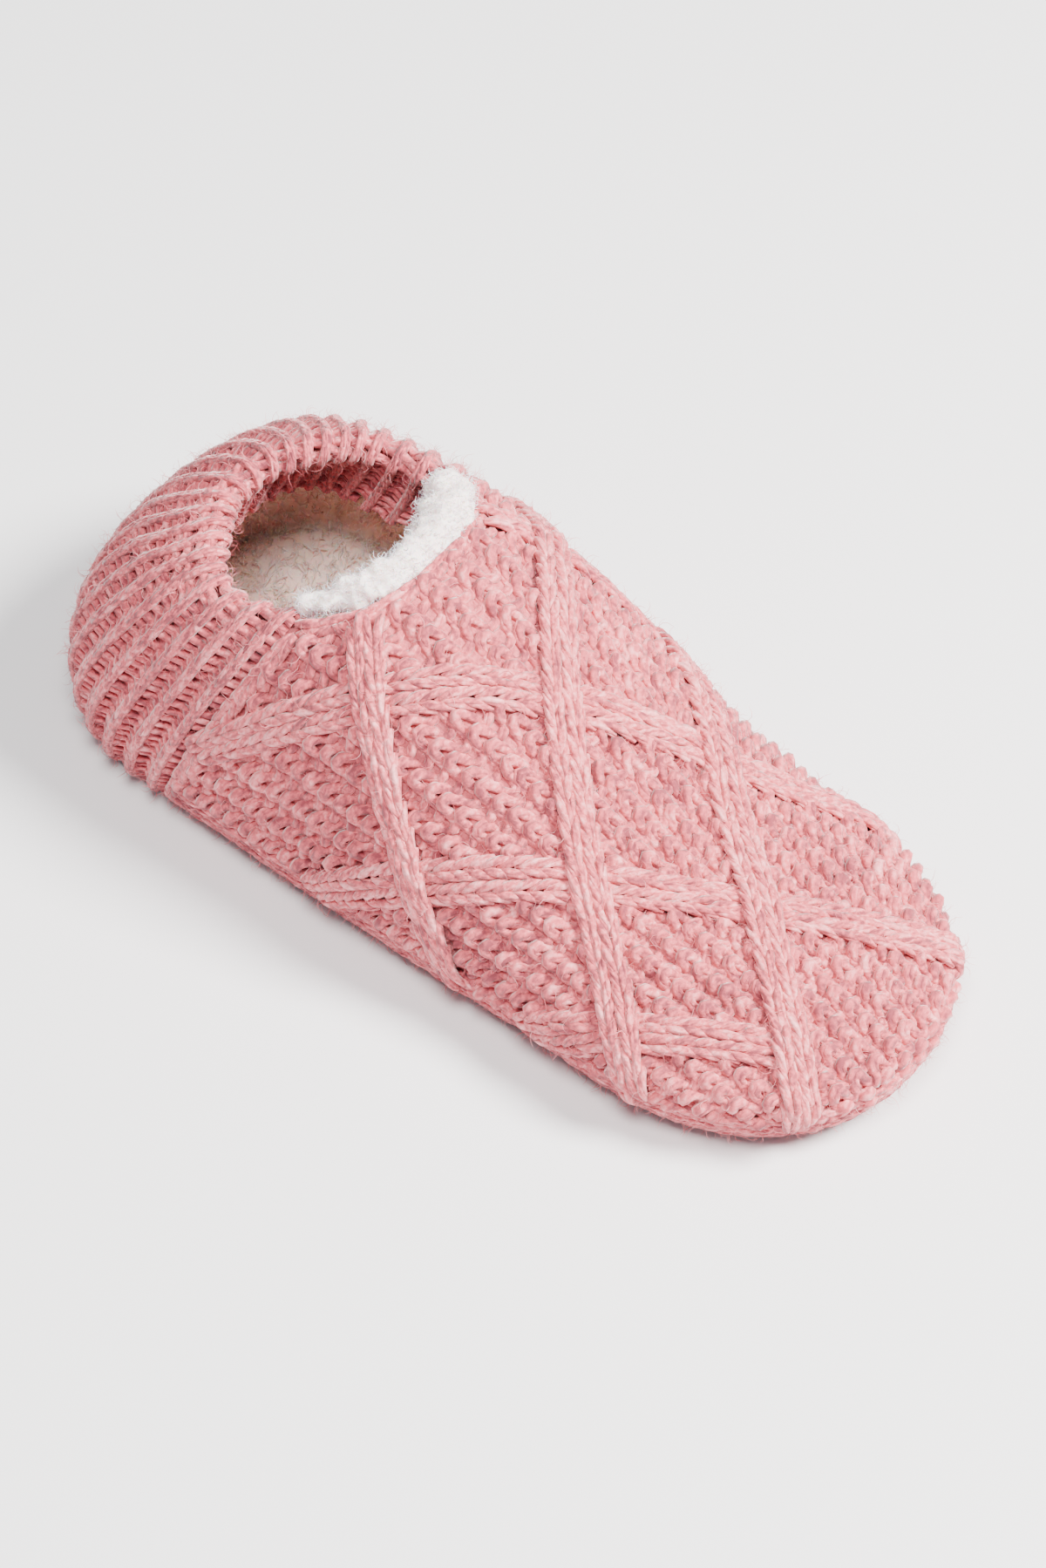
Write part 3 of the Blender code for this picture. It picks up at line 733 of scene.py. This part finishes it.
def layChain(runs, length, place, look):  # V stitches in columns along a path
    parts = np.linspace(0, 1, look["points"])
    swell = legSwell(parts)
    slack = legForm["overhang"] * look["leg"]
    for number in range(int(length / look["pitch"]) + 1):
        for column in look["columns"]:
            shift = look["pitch"] * (0.5 if column > 0 else 0.0)
            for leg in (-1, 1):
                wobble = rng.normal(0, 1, 3)
                size = look["leg"] * (1 + legForm["lengthStray"] * wobble[0])
                run = number * look["pitch"] + shift + (parts - 0.5) * size
                if run[0] < -slack or run[-1] > length + slack:
                    continue
                offset = column + leg * (look["near"] + (look["far"] - look["near"]) * parts)
                offset = offset + legForm["placeStray"] * wobble[1]
                lift = look["arch"] * (swell - 0.5) + legForm["placeStray"] * wobble[2]
                thick = look["thick"] * legThickness(swell, legForm["thinEnd"])
                runs.add(place(np.clip(run, 0, length), offset, lift), thick, float(rng.random()))


cable = {
    "pitch": 4.7 * mm, "leg": 9.0 * mm, "columns": (-2.2 * mm, 2.2 * mm), "near": 0.15 * mm,
    "far": 1.95 * mm, "thick": 1.16 * mm, "arch": 1.5 * mm, "points": 7, "sides": 6,
    "crown": 0.7 * mm, "crossingReach": 7.5 * mm, "overRise": 0.9 * mm, "underDip": 1.1 * mm,
}


def latticePaths():
    paths = []
    across = np.linspace(-1, 1, lattice["spots"])
    for number in range(lattice["first"], lattice["last"] + 1):
        crossing = lattice["start"] + 2 * number * lattice["step"]
        for direction in (1, -1):
            along = crossing + direction * across / latticeSlope
            x, y = knitPlace(along, across)
            _, _, row, left = flatPlace(x, y)
            keep = (left > lattice["endGap"]) & (x > backEdge(row) + lattice["throatGap"])
            keep &= stripKept(number, along, across)
            for start, stop in keptStretches(keep):
                path = FlatPath(x[start:stop], y[start:stop])
                if path.length > 2 * lattice["width"]:
                    paths.append((path, direction))
    return paths


def knitCables(look=cable):
    runs = Runs()
    for path, direction in latticePaths():
        base = lattice["overLift"] if direction < 0 else lattice["underLift"]
        rise = look["overRise"] if direction < 0 else -look["underDip"]

        def place(run, offset, lift):
            x, y = path.at(run, offset)
            along, across = knitOf(x, y)
            near = np.abs(stripDistance(along, across, -direction)) / look["crossingReach"]
            meeting = np.clip(1 - near**2, 0, 1)
            crown = look["crown"] * (1 - (offset / (lattice["width"] / 2))**2)
            return frontPlace(x, y, base + lift + crown + rise * meeting)

        layChain(runs, path.length, place, look)
    return runs.sweep("cableStrips", look["sides"], cableYarn)


# Chains that finish the front panel: along the sole's edge, down the side seams and round the throat
edgeBand = {"pitch": 5.2 * mm, "leg": 10.5 * mm, "columns": (-3.1 * mm, 0.9 * mm, 4.9 * mm),
            "near": 0.15 * mm, "far": 1.80 * mm, "thick": 1.20 * mm, "arch": 1.0 * mm, "points": 7,
            "sides": 6, "above": 6.6 * mm, "climb": 3.5 * mm, "climbRun": 22 * mm, "lift": 0.5 * mm,
            "ahead": 4 * mm, "sideSpots": 90, "toeSpots": 60}
sideSeam = {"pitch": 4.4 * mm, "leg": 8.0 * mm, "columns": (0.0,), "near": 0.3 * mm, "far": 1.5 * mm,
            "thick": 1.3 * mm, "arch": 0.9 * mm, "points": 7, "ahead": 2.2 * mm, "lift": 0.75 * mm,
            "rowsLeft": 0.12, "spots": 40}
throatEdge = {"pitch": 4.4 * mm, "leg": 8.6 * mm, "columns": (0.0,), "near": 0.4 * mm, "far": 1.3 * mm,
              "thick": 1.35 * mm, "arch": 0.7 * mm, "points": 7, "ahead": 1.0 * mm, "lift": 0.05 * mm,
              "spots": 30}


def bandPath(look=edgeBand):  # the front's lower edge, from one side seam round the toe to the other
    x = np.linspace(opening["seamBaseX"] + look["ahead"], toeX, look["sideSpots"])
    rise = look["climb"] * np.clip(1 - (x - x[0]) / look["climbRun"], 0, 1)**2
    turn = np.linspace(np.pi / 2, 0, look["toeSpots"])[1:]
    reach = np.interp(turn, turnAxis, toeGirth) - look["above"]
    near = np.stack([np.concatenate([x, toeX + reach * np.cos(turn)]),
                     np.concatenate([girthAt(x) - look["above"] - rise, reach * np.sin(turn)])])
    far = near[:, ::-1][:, 1:] * np.array([[1], [-1]])
    return FlatPath(*np.concatenate([near, far], axis=1))


def rowPath(rows, side, ahead):  # a line just ahead of the panel's back edge
    x = backEdge(rows) + ahead
    shares = np.linspace(0, 1, fineSteps)
    rowsAt = [blendTable(sideRows, np.full(fineSteps, (one - heelX) / span), shares) for one in x]
    y = np.array([np.interp(row, line, shares) for row, line in zip(rows, rowsAt)]) * girthAt(x)
    return x, side * y


def knitEdges():
    runs = Runs()
    paths = [(bandPath(), edgeBand)]
    seamRows = np.linspace(cornerRow, baseRow - sideSeam["rowsLeft"], sideSeam["spots"])
    for side in (1, -1):
        paths.append((FlatPath(*rowPath(seamRows, side, sideSeam["ahead"])), sideSeam))
    x, y = rowPath(np.linspace(0, cornerRow, throatEdge["spots"]), 1, throatEdge["ahead"])
    throat = FlatPath(np.concatenate([x[::-1], x[1:]]), np.concatenate([y[::-1], -y[1:]]))
    for path, look in paths + [(throat, throatEdge)]:

        def place(run, offset, lift):
            x, y = path.at(run, offset)
            return frontPlace(x, y, look["lift"] + lift)

        layChain(runs, path.length, place, look)
    return runs.sweep("panelEdges", edgeBand["sides"], edgeYarn)


# Chain of yarn that joins the upper to the sole
soleSeam = {"pitch": 4.0 * mm, "leg": 6.6 * mm, "columns": (0.0,), "near": 0.15 * mm, "far": 0.75 * mm,
            "thick": 0.95 * mm, "arch": 0.5 * mm, "points": 6, "sides": 6, "outset": 1.2 * mm,
            "drop": 0.75 * mm}
soleSpots = {"end": 40, "side": 60}


def solePath(outset):  # points round the sole's edge, with outward headings
    turns = np.linspace(0, np.pi / 2, soleSpots["end"])
    heel = endStation(turns, "heel")
    side = sideStation(np.linspace(heelX, toeX, soleSpots["side"])[1:-1])
    toe = endStation(turns[::-1], "toe")
    x, headX, headY, reach, base = (
        np.concatenate([st[key] for st in (heel, side, toe)])
        for key in ("x", "headX", "headY", "reach", "base"))
    away = reach - foot["tuck"] + outset
    half = np.stack([x + headX * away, headY * away, base - foot["clearance"]], -1)
    out = np.stack([headX, headY, 0 * headX], -1)
    return tuple(np.concatenate([line, line[::-1][1:] * mirrored]) for line in (half, out))


def knitSoleSeam(look=soleSeam):
    runs = Runs()
    path, heading = solePath(look["outset"])
    lengths = lengthsAlong(path)

    def place(run, offset, lift):
        spot = readLine(run, lengths, path) + readLine(run, lengths, heading) * lift[:, None]
        spot[:, 2] += offset - look["drop"]
        return spot

    layChain(runs, lengths[-1], place, look)
    return runs.sweep("soleSeamChain", look["sides"], seamYarn)


# Ribbed heel: a crisp chain on each crest and rungs across each furrow, over the rim and down inside
rib = {"perSide": 11, "course": 3.15 * mm, "sides": 6, "outsideSteps": 61, "rollSteps": 15,
       "rollSwell": 1.2, "margin": 0.004,
       "heights": {"along": (0.0, 0.1, 0.55, 0.70, 0.80, 1.0),
                   "relief": (1.2 * mm, 2.0 * mm, 2.0 * mm, 1.2 * mm, 0.8 * mm, 0.6 * mm)}}
crest = {"leg": 2.0, "near": 0.015, "far": 0.105, "thick": 1.00 * mm, "lift": 0.15 * mm, "arch": 0.5 * mm,
         "points": 6, "thinEnd": 0.45, "placeStray": 0.006, "liftStray": 0.06 * mm}
rung = {"reach": 0.43, "slant": 0.32, "thick": 1.36 * mm, "lift": -0.45 * mm, "tuck": 0.5 * mm,
        "points": 8, "thins": {"along": (0.52, 0.66, 0.78), "thick": (1.00 * mm, 1.36 * mm, 1.20 * mm)},
        "slantStray": 0.12, "liftStray": 0.12 * mm, "thickStray": 0.05}
ribShares = np.linspace(0, 1, 6 * rib["perSide"] + 1)


def unit(vectors):
    return vectors / np.linalg.norm(vectors, axis=-1, keepdims=True)


def ribTable(look=rib):  # points and outward directions up the outside, over the roll and down the facing
    top = collarRow(ribShares)[:, None]
    row = top + (baseRow - top) * np.linspace(1, 0, look["outsideSteps"])[None, :]
    share = np.broadcast_to(ribShares[:, None], row.shape)
    outside = heelPlace(share, row, 0.0, 1.0)
    normal = unit(heelPlace(share, row, 1 * mm, 1.0) - outside)
    fold = np.clip(ribShares * look["perSide"], 0, 1)
    thick = foot["wall"] + (opening["facingThickness"] - foot["wall"]) * fold
    phi = np.linspace(0, np.pi, look["rollSteps"])[1:-1, None]
    points = []
    normals = []
    for i in range(len(ribShares)):
        edge, face = outside[i, -1], normal[i, -1]
        up = edge - outside[i, -4]
        up = unit(up - face * up.dot(face))
        half = thick[i] / 2
        swell = up * np.sin(phi) * opening["rollRise"] * look["rollSwell"]
        roll = edge - face * half + face * np.cos(phi) * half + swell
        depth = lengthsAlong(outside[i, ::-1])
        hang = thick[i] + opening["facingHang"] * np.minimum(depth, opening["facingDepth"]) * fold[i]
        down = outside[i, ::-1] - normal[i, ::-1] * hang[:, None]
        line = np.concatenate([outside[i], roll, down])
        faces = np.concatenate([normal[i], face * np.cos(phi) + up * np.sin(phi), -normal[i, ::-1]])
        lengths = lengthsAlong(line)
        inner = lengths[len(outside[i]) + len(roll)]
        stops = np.linspace(0, inner + opening["facingDepth"], fineSteps)
        points.append(readLine(stops, lengths, line))
        normals.append(readLine(stops, lengths, faces))
    return np.array(points), np.array(normals)


ribPoints, ribNormals = ribTable()


def ribPlace(u, v, lift):  # u from -1 to 1 round the heel, v from 0 at the sole to 1 at the facing's end
    u, v, lift = np.broadcast_arrays(u, v, lift)
    share = 1 - np.abs(u)
    point = blendTable(ribPoints, share, v)
    normal = unit(blendTable(ribNormals, share, v))
    flip = np.stack([np.ones_like(u), np.where(u >= 0, 1.0, -1.0), np.ones_like(u)], -1)
    return (point + normal * lift[..., None]) * flip


def knitRibs(look=rib):
    runs = Runs()
    length = np.linalg.norm(np.diff(ribPoints, axis=1), axis=-1).sum(axis=1).mean()
    courses = round(length / look["course"])

    def lay(number, course, lift, thick):  # number counts furrows from one side seam to the other
        v = course / courses
        height = np.interp(v, look["heights"]["along"], look["heights"]["relief"])
        hill = height * np.sin(np.pi * number)**2
        u = number / look["perSide"] - 1
        keep = (np.abs(u) <= 1) & (v >= look["margin"]) & (v <= 1 - look["margin"])
        points = ribPlace(np.clip(u, -1, 1), v, hill + lift)
        runs.addMasked(points, thick, float(rng.random()), keep)

    parts = np.linspace(0, 1, crest["points"])
    swell = legSwell(parts)
    reach = np.linspace(-1, 1, rung["points"])
    for course in range(courses):
        thin = np.interp((course + 0.5) / courses, rung["thins"]["along"], rung["thins"]["thick"])
        for furrow in range(2 * look["perSide"] + 1):
            wobble = rng.normal(0, 1, 3)
            bow = rung["slant"] * reach + rung["slantStray"] * wobble[0]
            lay(furrow + rung["reach"] * reach, course + 0.5 + bow,
                rung["lift"] - rung["tuck"] * reach**6 + rung["liftStray"] * wobble[1],
                (thin + (rung["thick"] - thin) * np.abs(reach)) * (1 + rung["thickStray"] * wobble[2]))
        for number in range(2 * look["perSide"]):
            for side in (-1, 1):
                wobble = rng.normal(0, 1, 2)
                offset = side * (crest["near"] + (crest["far"] - crest["near"]) * parts)
                offset = offset + crest["placeStray"] * wobble[0]
                lay(number + 0.5 + offset, course + 0.5 + (parts - 0.5) * crest["leg"],
                    crest["lift"] + crest["arch"] * (swell - 0.5) + crest["liftStray"] * wobble[1],
                    crest["thick"] * legThickness(swell, crest["thinEnd"]))
    return runs.sweep("heelRibs", look["sides"], ribYarn)


# A dark sheet behind the yarn, painted shade for its gaps, and the lining inside it: closed shells on the
# same foot shape
backing = {"outer": -0.30 * mm, "inner": -3.3 * mm, "columns": 30, "toeColumns": 14, "heelColumns": 44,
           "throatRows": 9, "seamRows": 25}
mergeDistance = 1e-6


def gridCorners(mesh, grid):  # adds a grid's points to a mesh and gives the four corners of each face
    corners = [[mesh.verts.new(point) for point in line] for line in grid]
    for low, high in zip(corners, corners[1:]):
        for j in range(len(low) - 1):
            yield low[j], high[j], high[j + 1], low[j + 1]


def plainMesh(name, gathered):
    data = bpy.data.meshes.new(name)
    gathered.to_mesh(data)
    gathered.free()
    return data


class Skin:  # gathers the faces of one closed shell and merges their shared points at the end
    def __init__(self):
        self.mesh = bmesh.new()

    def sheet(self, grid):
        for corners in gridCorners(self.mesh, grid):
            self.mesh.faces.new(corners)

    def finish(self, name):
        bmesh.ops.remove_doubles(self.mesh, verts=self.mesh.verts, dist=mergeDistance)
        bmesh.ops.dissolve_degenerate(self.mesh, edges=self.mesh.edges, dist=mergeDistance)
        bmesh.ops.recalc_face_normals(self.mesh, faces=self.mesh.faces)
        data = plainMesh(name, self.mesh)
        for face in data.polygons:
            face.use_smooth = True
        return data


throatRows = cornerRow * np.linspace(0, 1, backing["throatRows"])
seamParts = np.linspace(0, 1, backing["seamRows"])


def frontSheet(lift, side, first=0.0, last=1.0):  # a grid over the front, from its back edge to the toe
    rows = np.concatenate([throatRows, (cornerRow + (baseRow - cornerRow) * seamParts)[1:]])
    start = backEdge(rows)
    lines = [skinPoint(sideStation(start + (toeX - start) * share), rows, lift, side)
             for share in np.linspace(first, last, backing["columns"] + 1)]
    if last == 1.0:
        for share in np.linspace(0, 1, backing["toeColumns"] + 1)[1:]:
            turn = np.full(rows.shape, np.interp(share, toeShares, toeTurns))
            lines.append(skinPoint(endStation(turn, "toe"), rows, lift, side))
    return np.array(lines)


def heelSheet(lift, side, top=0.0):
    lines = []
    for number, share in enumerate(np.linspace(0, 1, backing["heelColumns"] + 1)):
        topRow = cornerRow if number == 0 else float(collarRow(np.array([share]))[0])
        row = topRow + (baseRow - topRow) * (top + (1 - top) * seamParts)
        lines.append(heelPlace(np.full(row.shape, share), row, lift, side))
    return np.array(lines)


def closedShell(name, look=backing):
    skin = Skin()
    for side in (1.0, -1.0):
        front, heel = ([makeSheet(look[face], side) for face in ("outer", "inner")]
                       for makeSheet in (frontSheet, heelSheet))
        for grid in front + heel:
            skin.sheet(grid)
        for pair, cut in ((front, np.s_[0, :len(throatRows)]), (front, np.s_[:, -1]),
                          (heel, np.s_[:, -1]), (heel, np.s_[:, 0])):
            skin.sheet(np.array([grid[cut] for grid in pair]))
    return skin.finish(name)


# Fleece pile on the insole, on the lining's walls and along the throat, and fuzz on the yarn
insolePile = {"density": 0.40, "length": 3.4 * mm, "thick": 0.24 * mm, "bend": 2.6 * mm, "lean": 1.2,
              "steps": 3}
wallPile = {"density": 0.34, "length": 3.4 * mm, "thick": 0.26 * mm, "bend": 2.4 * mm, "lean": 1.1,
            "steps": 3}
throatPile = {"density": 0.9, "length": 1.5 * mm, "thick": 0.10 * mm, "bend": 1.4 * mm, "lean": 1.0,
              "steps": 3}
yarnFuzz = {"density": 0.054, "length": 3.2 * mm, "thick": 0.06 * mm, "bend": 1.6 * mm, "lean": 1.1,
            "steps": 2}
fibreSides = 3


def growPile(name, data, look, seed, material):  # density is fibres on a square millimetre
    return growPiece(name, data, pile, {
        "Density": look["density"] * 1e6, "Length": look["length"], "Thickness": look["thick"],
        "Bend": look["bend"], "Lean": look["lean"], "Steps": look["steps"], "Sides": fibreSides,
        "Seed": seed, "Fibre": material})


def puffPiece(name, data, look, cloth):
    return growPiece(name, data, puff, {
        "Lump Size": look["lumpSize"], "Lump Height": look["lumpHeight"], "Cloth": cloth})


insole = {"bottom": 4.0 * mm, "thickness": 5.0 * mm, "inset": 1.2 * mm, "spots": 15,
          "lumpSize": 9 * mm, "lumpHeight": 2.2 * mm,
          "patchSink": 0.3 * mm, "patchInset": 1 * mm, "patchEnd": 0.018}


def insoleGrid(height, inset):
    half, _ = solePath(-inset)
    shares = np.linspace(0, 1, insole["spots"])
    lines = []
    for x, y, _ in half[:len(half) // 2 + 1]:
        spine = np.clip(x, heelX, toeX)
        across = np.stack([spine + (x - spine) * shares, y * shares], -1)
        lines.append(np.column_stack([across, height + toeLift(across[:, 0])]))
    return np.array(lines)


def makeInsole(look=insole):
    skin = Skin()
    low = insoleGrid(look["bottom"], look["inset"])
    high = insoleGrid(look["bottom"] + look["thickness"], look["inset"])
    for side in (1.0, mirrored):
        for grid in (low, high, np.stack([low[:, -1], high[:, -1]])):
            skin.sheet(grid * side)
    return puffPiece("insolePad", skin.finish("insolePad"), look, creamFleece)


def insolePatch(look=insole):  # the part of the insole that shows through the opening
    grid = insoleGrid(look["bottom"] + look["thickness"] - look["patchSink"],
                      look["inset"] + look["patchInset"])
    data = bmesh.new()
    for side, order in ((1.0, 1), (mirrored, -1)):
        for corners in gridCorners(data, grid * side):
            if max(corner.co.x for corner in corners) < look["patchEnd"]:
                data.faces.new(corners[::order])
    bmesh.ops.remove_doubles(data, verts=data.verts, dist=mergeDistance)
    data.normal_update()
    for face in data.faces:
        if face.normal.z < 0:
            face.normal_flip()
    return plainMesh("insolePatch", data)


lining = {"outer": -3.5 * mm, "inner": -5.2 * mm, "heelTop": 0.36, "frontStart": 0.02,
          "patchStart": 0.03, "patchEnd": 0.45, "middleHeight": 20 * mm}


def makeLining(look=lining):
    skin = Skin()
    for side in (1.0, -1.0):
        front = [frontSheet(look[face], side, look["frontStart"]) for face in ("outer", "inner")]
        heel = [heelSheet(look[face], side, look["heelTop"]) for face in ("outer", "inner")]
        for pair, cuts in ((front, (np.s_[:, -1], 0)), (heel, (np.s_[:, -1], np.s_[:, 0], 0))):
            for grid in pair:
                skin.sheet(grid)
            for cut in cuts:
                skin.sheet(np.array([grid[cut] for grid in pair]))
    return skin.finish("fleeceLining")


def liningPatch(look=lining):  # inside faces near the opening, for the pile to stand on
    data = bmesh.new()
    for side in (1.0, -1.0):
        for grid in (frontSheet(look["inner"], side, look["patchStart"], look["patchEnd"]),
                     heelSheet(look["inner"], side, look["heelTop"])):
            for corners in gridCorners(data, grid):
                face = data.faces.new(corners)
                face.normal_update()
                centre = face.calc_center_median()
                inward = Vector((min(max(centre.x, heelX), toeX), 0, look["middleHeight"])) - centre
                if face.normal.dot(inward) < 0:
                    face.normal_flip()
    return plainMesh("liningPatch", data)


# The roll of fleece behind the throat's edge, fuller towards the far side
throatRoll = {"radius": 4.3 * mm, "behind": 6.0 * mm, "drop": 2.0 * mm, "share": 0.97, "rings": 150,
              "around": 26, "lumpSize": 6.0 * mm, "lumpHeight": 4.0 * mm, "thinEnd": 0.3,
              "shares": (-0.9, 0.6), "fullness": (0.90, 1.55)}


def throatCurve(share, lift=0.0):
    row = np.abs(share) * cornerRow
    side = np.where(share >= 0, 1.0, -1.0)
    return skinPoint(sideStation(backEdge(row)), row, lift, side)


def makeRoll(look=throatRoll):
    skin = Skin()
    share = np.linspace(-look["share"], look["share"], look["rings"])
    edge = throatCurve(share)
    forward = unit(np.gradient(edge, axis=0))
    up = throatCurve(share, 1 * mm) - edge
    up = unit(up - forward * (up * forward).sum(1, keepdims=True))
    behind = np.cross(up, forward)
    behind *= np.where(behind[:, :1] > 0, -1.0, 1.0)
    taper = np.sqrt(np.clip(1 - (np.abs(share) / look["share"])**8, 0, 1)) \
        * (1 - look["thinEnd"]) + look["thinEnd"]
    centre = edge + behind * look["behind"] - up * look["drop"]
    turn = np.linspace(0, 2 * np.pi, look["around"] + 1)[None, :, None]
    size = (look["radius"] * taper * np.interp(share, look["shares"], look["fullness"]))[:, None, None]
    rings = centre[:, None] + size * (behind[:, None] * np.cos(turn) + up[:, None] * np.sin(turn))
    skin.sheet(rings)
    for end in (0, -1):
        skin.sheet(np.stack([rings[end], np.broadcast_to(centre[end], rings[end].shape)]))
    return puffPiece("throatRoll", skin.finish("throatRoll"), look, whiteFleece)


def joinedCopy(pieces):
    data = bmesh.new()
    for piece in pieces:
        data.from_mesh(piece.data)
    return plainMesh("joinedCopy", data)


ground = knitGround()
cables = knitCables()
edges = knitEdges()
ribs = knitRibs()
seam = knitSoleSeam()
# the sheet behind the yarn is dark red as painted shade in the gaps between the yarns
back = addPiece("gapShadeSheet", closedShell("gapShadeSheet"), gapShadeSheet)
liner = addPiece("fleeceLining", makeLining(), creamFleece)
pad = makeInsole()
roll = makeRoll()
print("knit and shells made")

padPile = growPile("insolePile", insolePatch(), insolePile, 11, creamFleece)
linerPile = growPile("liningPile", liningPatch(), wallPile, 12, creamFleece)
rollPile = growPile("throatPile", roll.data.copy(), throatPile, 13, whiteFleece)
frontFuzz = growPile("frontFuzz", joinedCopy([ground, cables, edges]), yarnFuzz, 14, fuzzFibre)
heelFuzz = growPile("heelFuzz", joinedCopy([ribs]), yarnFuzz, 15, fuzzFibre)
print("pile and fuzz grown")

for piece, slotName, nodes in (
        (ground, "pink_yarn", ()), (cables, "pink_yarn", ()), (edges, "pink_yarn", ()),
        (ribs, "pink_yarn", ()), (back, "pink_yarn", ("upper",)), (seam, "seam_yarn", ("sole_seam",)),
        (liner, "lining_fleece", ()), (pad, "lining_fleece", ("insole",)),
        (roll, "white_fleece", ("throat_fleece",)), (padPile, "lining_fleece", ()),
        (linerPile, "lining_fleece", ()), (rollPile, "white_fleece", ()),
        (frontFuzz, "pink_yarn", ()), (heelFuzz, "pink_yarn", ())):
    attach(piece, "root")
    if nodes:
        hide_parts(*nodes)

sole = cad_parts["sole"]
sole.data.materials.clear()
sole.data.materials.append(soleKnit)

# Floor, lights and camera
studio = {
    "floor": (0.82, 0.83, 0.85), "floorSize": 3.0, "floorGrain": 1 / 3, "floorShade": 0.985,
    "world": (0.92, 0.95, 1.0), "worldStrength": 0.385,
    "key": {"place": (0.85, 0.52, 1.15), "size": 0.55, "watts": 92.0, "colour": (1.0, 0.96, 0.92)},
    "fill": {"place": (0.30, -0.42, 1.45), "size": 0.5, "watts": 33.0, "colour": (1.0, 0.97, 0.94)},
}
photoView = {"place": (0.51789, -0.6054, 1.01956), "target": (0.004, -0.002, 0.026), "lens": 122.0,
             "sensorHeight": 36.0}


def addAimed(name, data, place, target):  # a light or camera that looks at a target
    piece = addPiece(name, data)
    piece.location = place
    piece.rotation_euler = (Vector(target) - Vector(place)).to_track_quat("-Z", "Y").to_euler()
    return piece


def makeStudio(look=studio):
    half = look["floorSize"] / 2
    data = bpy.data.meshes.new("floor")
    data.from_pydata([(-half, -half, 0), (half, -half, 0), (half, half, 0), (-half, half, 0)],
                     [], [(0, 1, 2, 3)])
    material, graph = newMaterial("paleFloor")
    tint = tuple(value * look["floorShade"] for value in look["floor"])
    grain = graph.noise(graph.objectPlace(), look["floorGrain"])
    colour = graph.ramp(grain, (0.3, tint), (0.7, look["floor"]))
    setShader(graph, {"Roughness": 0.9}, {"Base Color": colour})
    addPiece("floor", data, material)
    world = bpy.data.worlds.new("softWorld")
    world.use_nodes = True
    sky = world.node_tree.nodes["Background"]
    sky.inputs["Color"].default_value = (*look["world"], 1.0)
    sky.inputs["Strength"].default_value = look["worldStrength"]
    bpy.context.scene.world = world
    for name in ("key", "fill"):
        light = bpy.data.lights.new(name, "AREA")
        light.shape = "DISK"
        light.size = look[name]["size"]
        light.energy = look[name]["watts"]
        light.color = look[name]["colour"]
        addAimed(name, light, look[name]["place"], (0, 0, 0))


def makeCamera(look=photoView):
    data = bpy.data.cameras.new("photoCamera")
    data.sensor_fit = "VERTICAL"
    data.sensor_height = look["sensorHeight"]
    data.lens = look["lens"]
    bpy.context.scene.camera = addAimed("photoCamera", data, look["place"], look["target"])


makeStudio()
makeCamera()
print("studio and camera set")
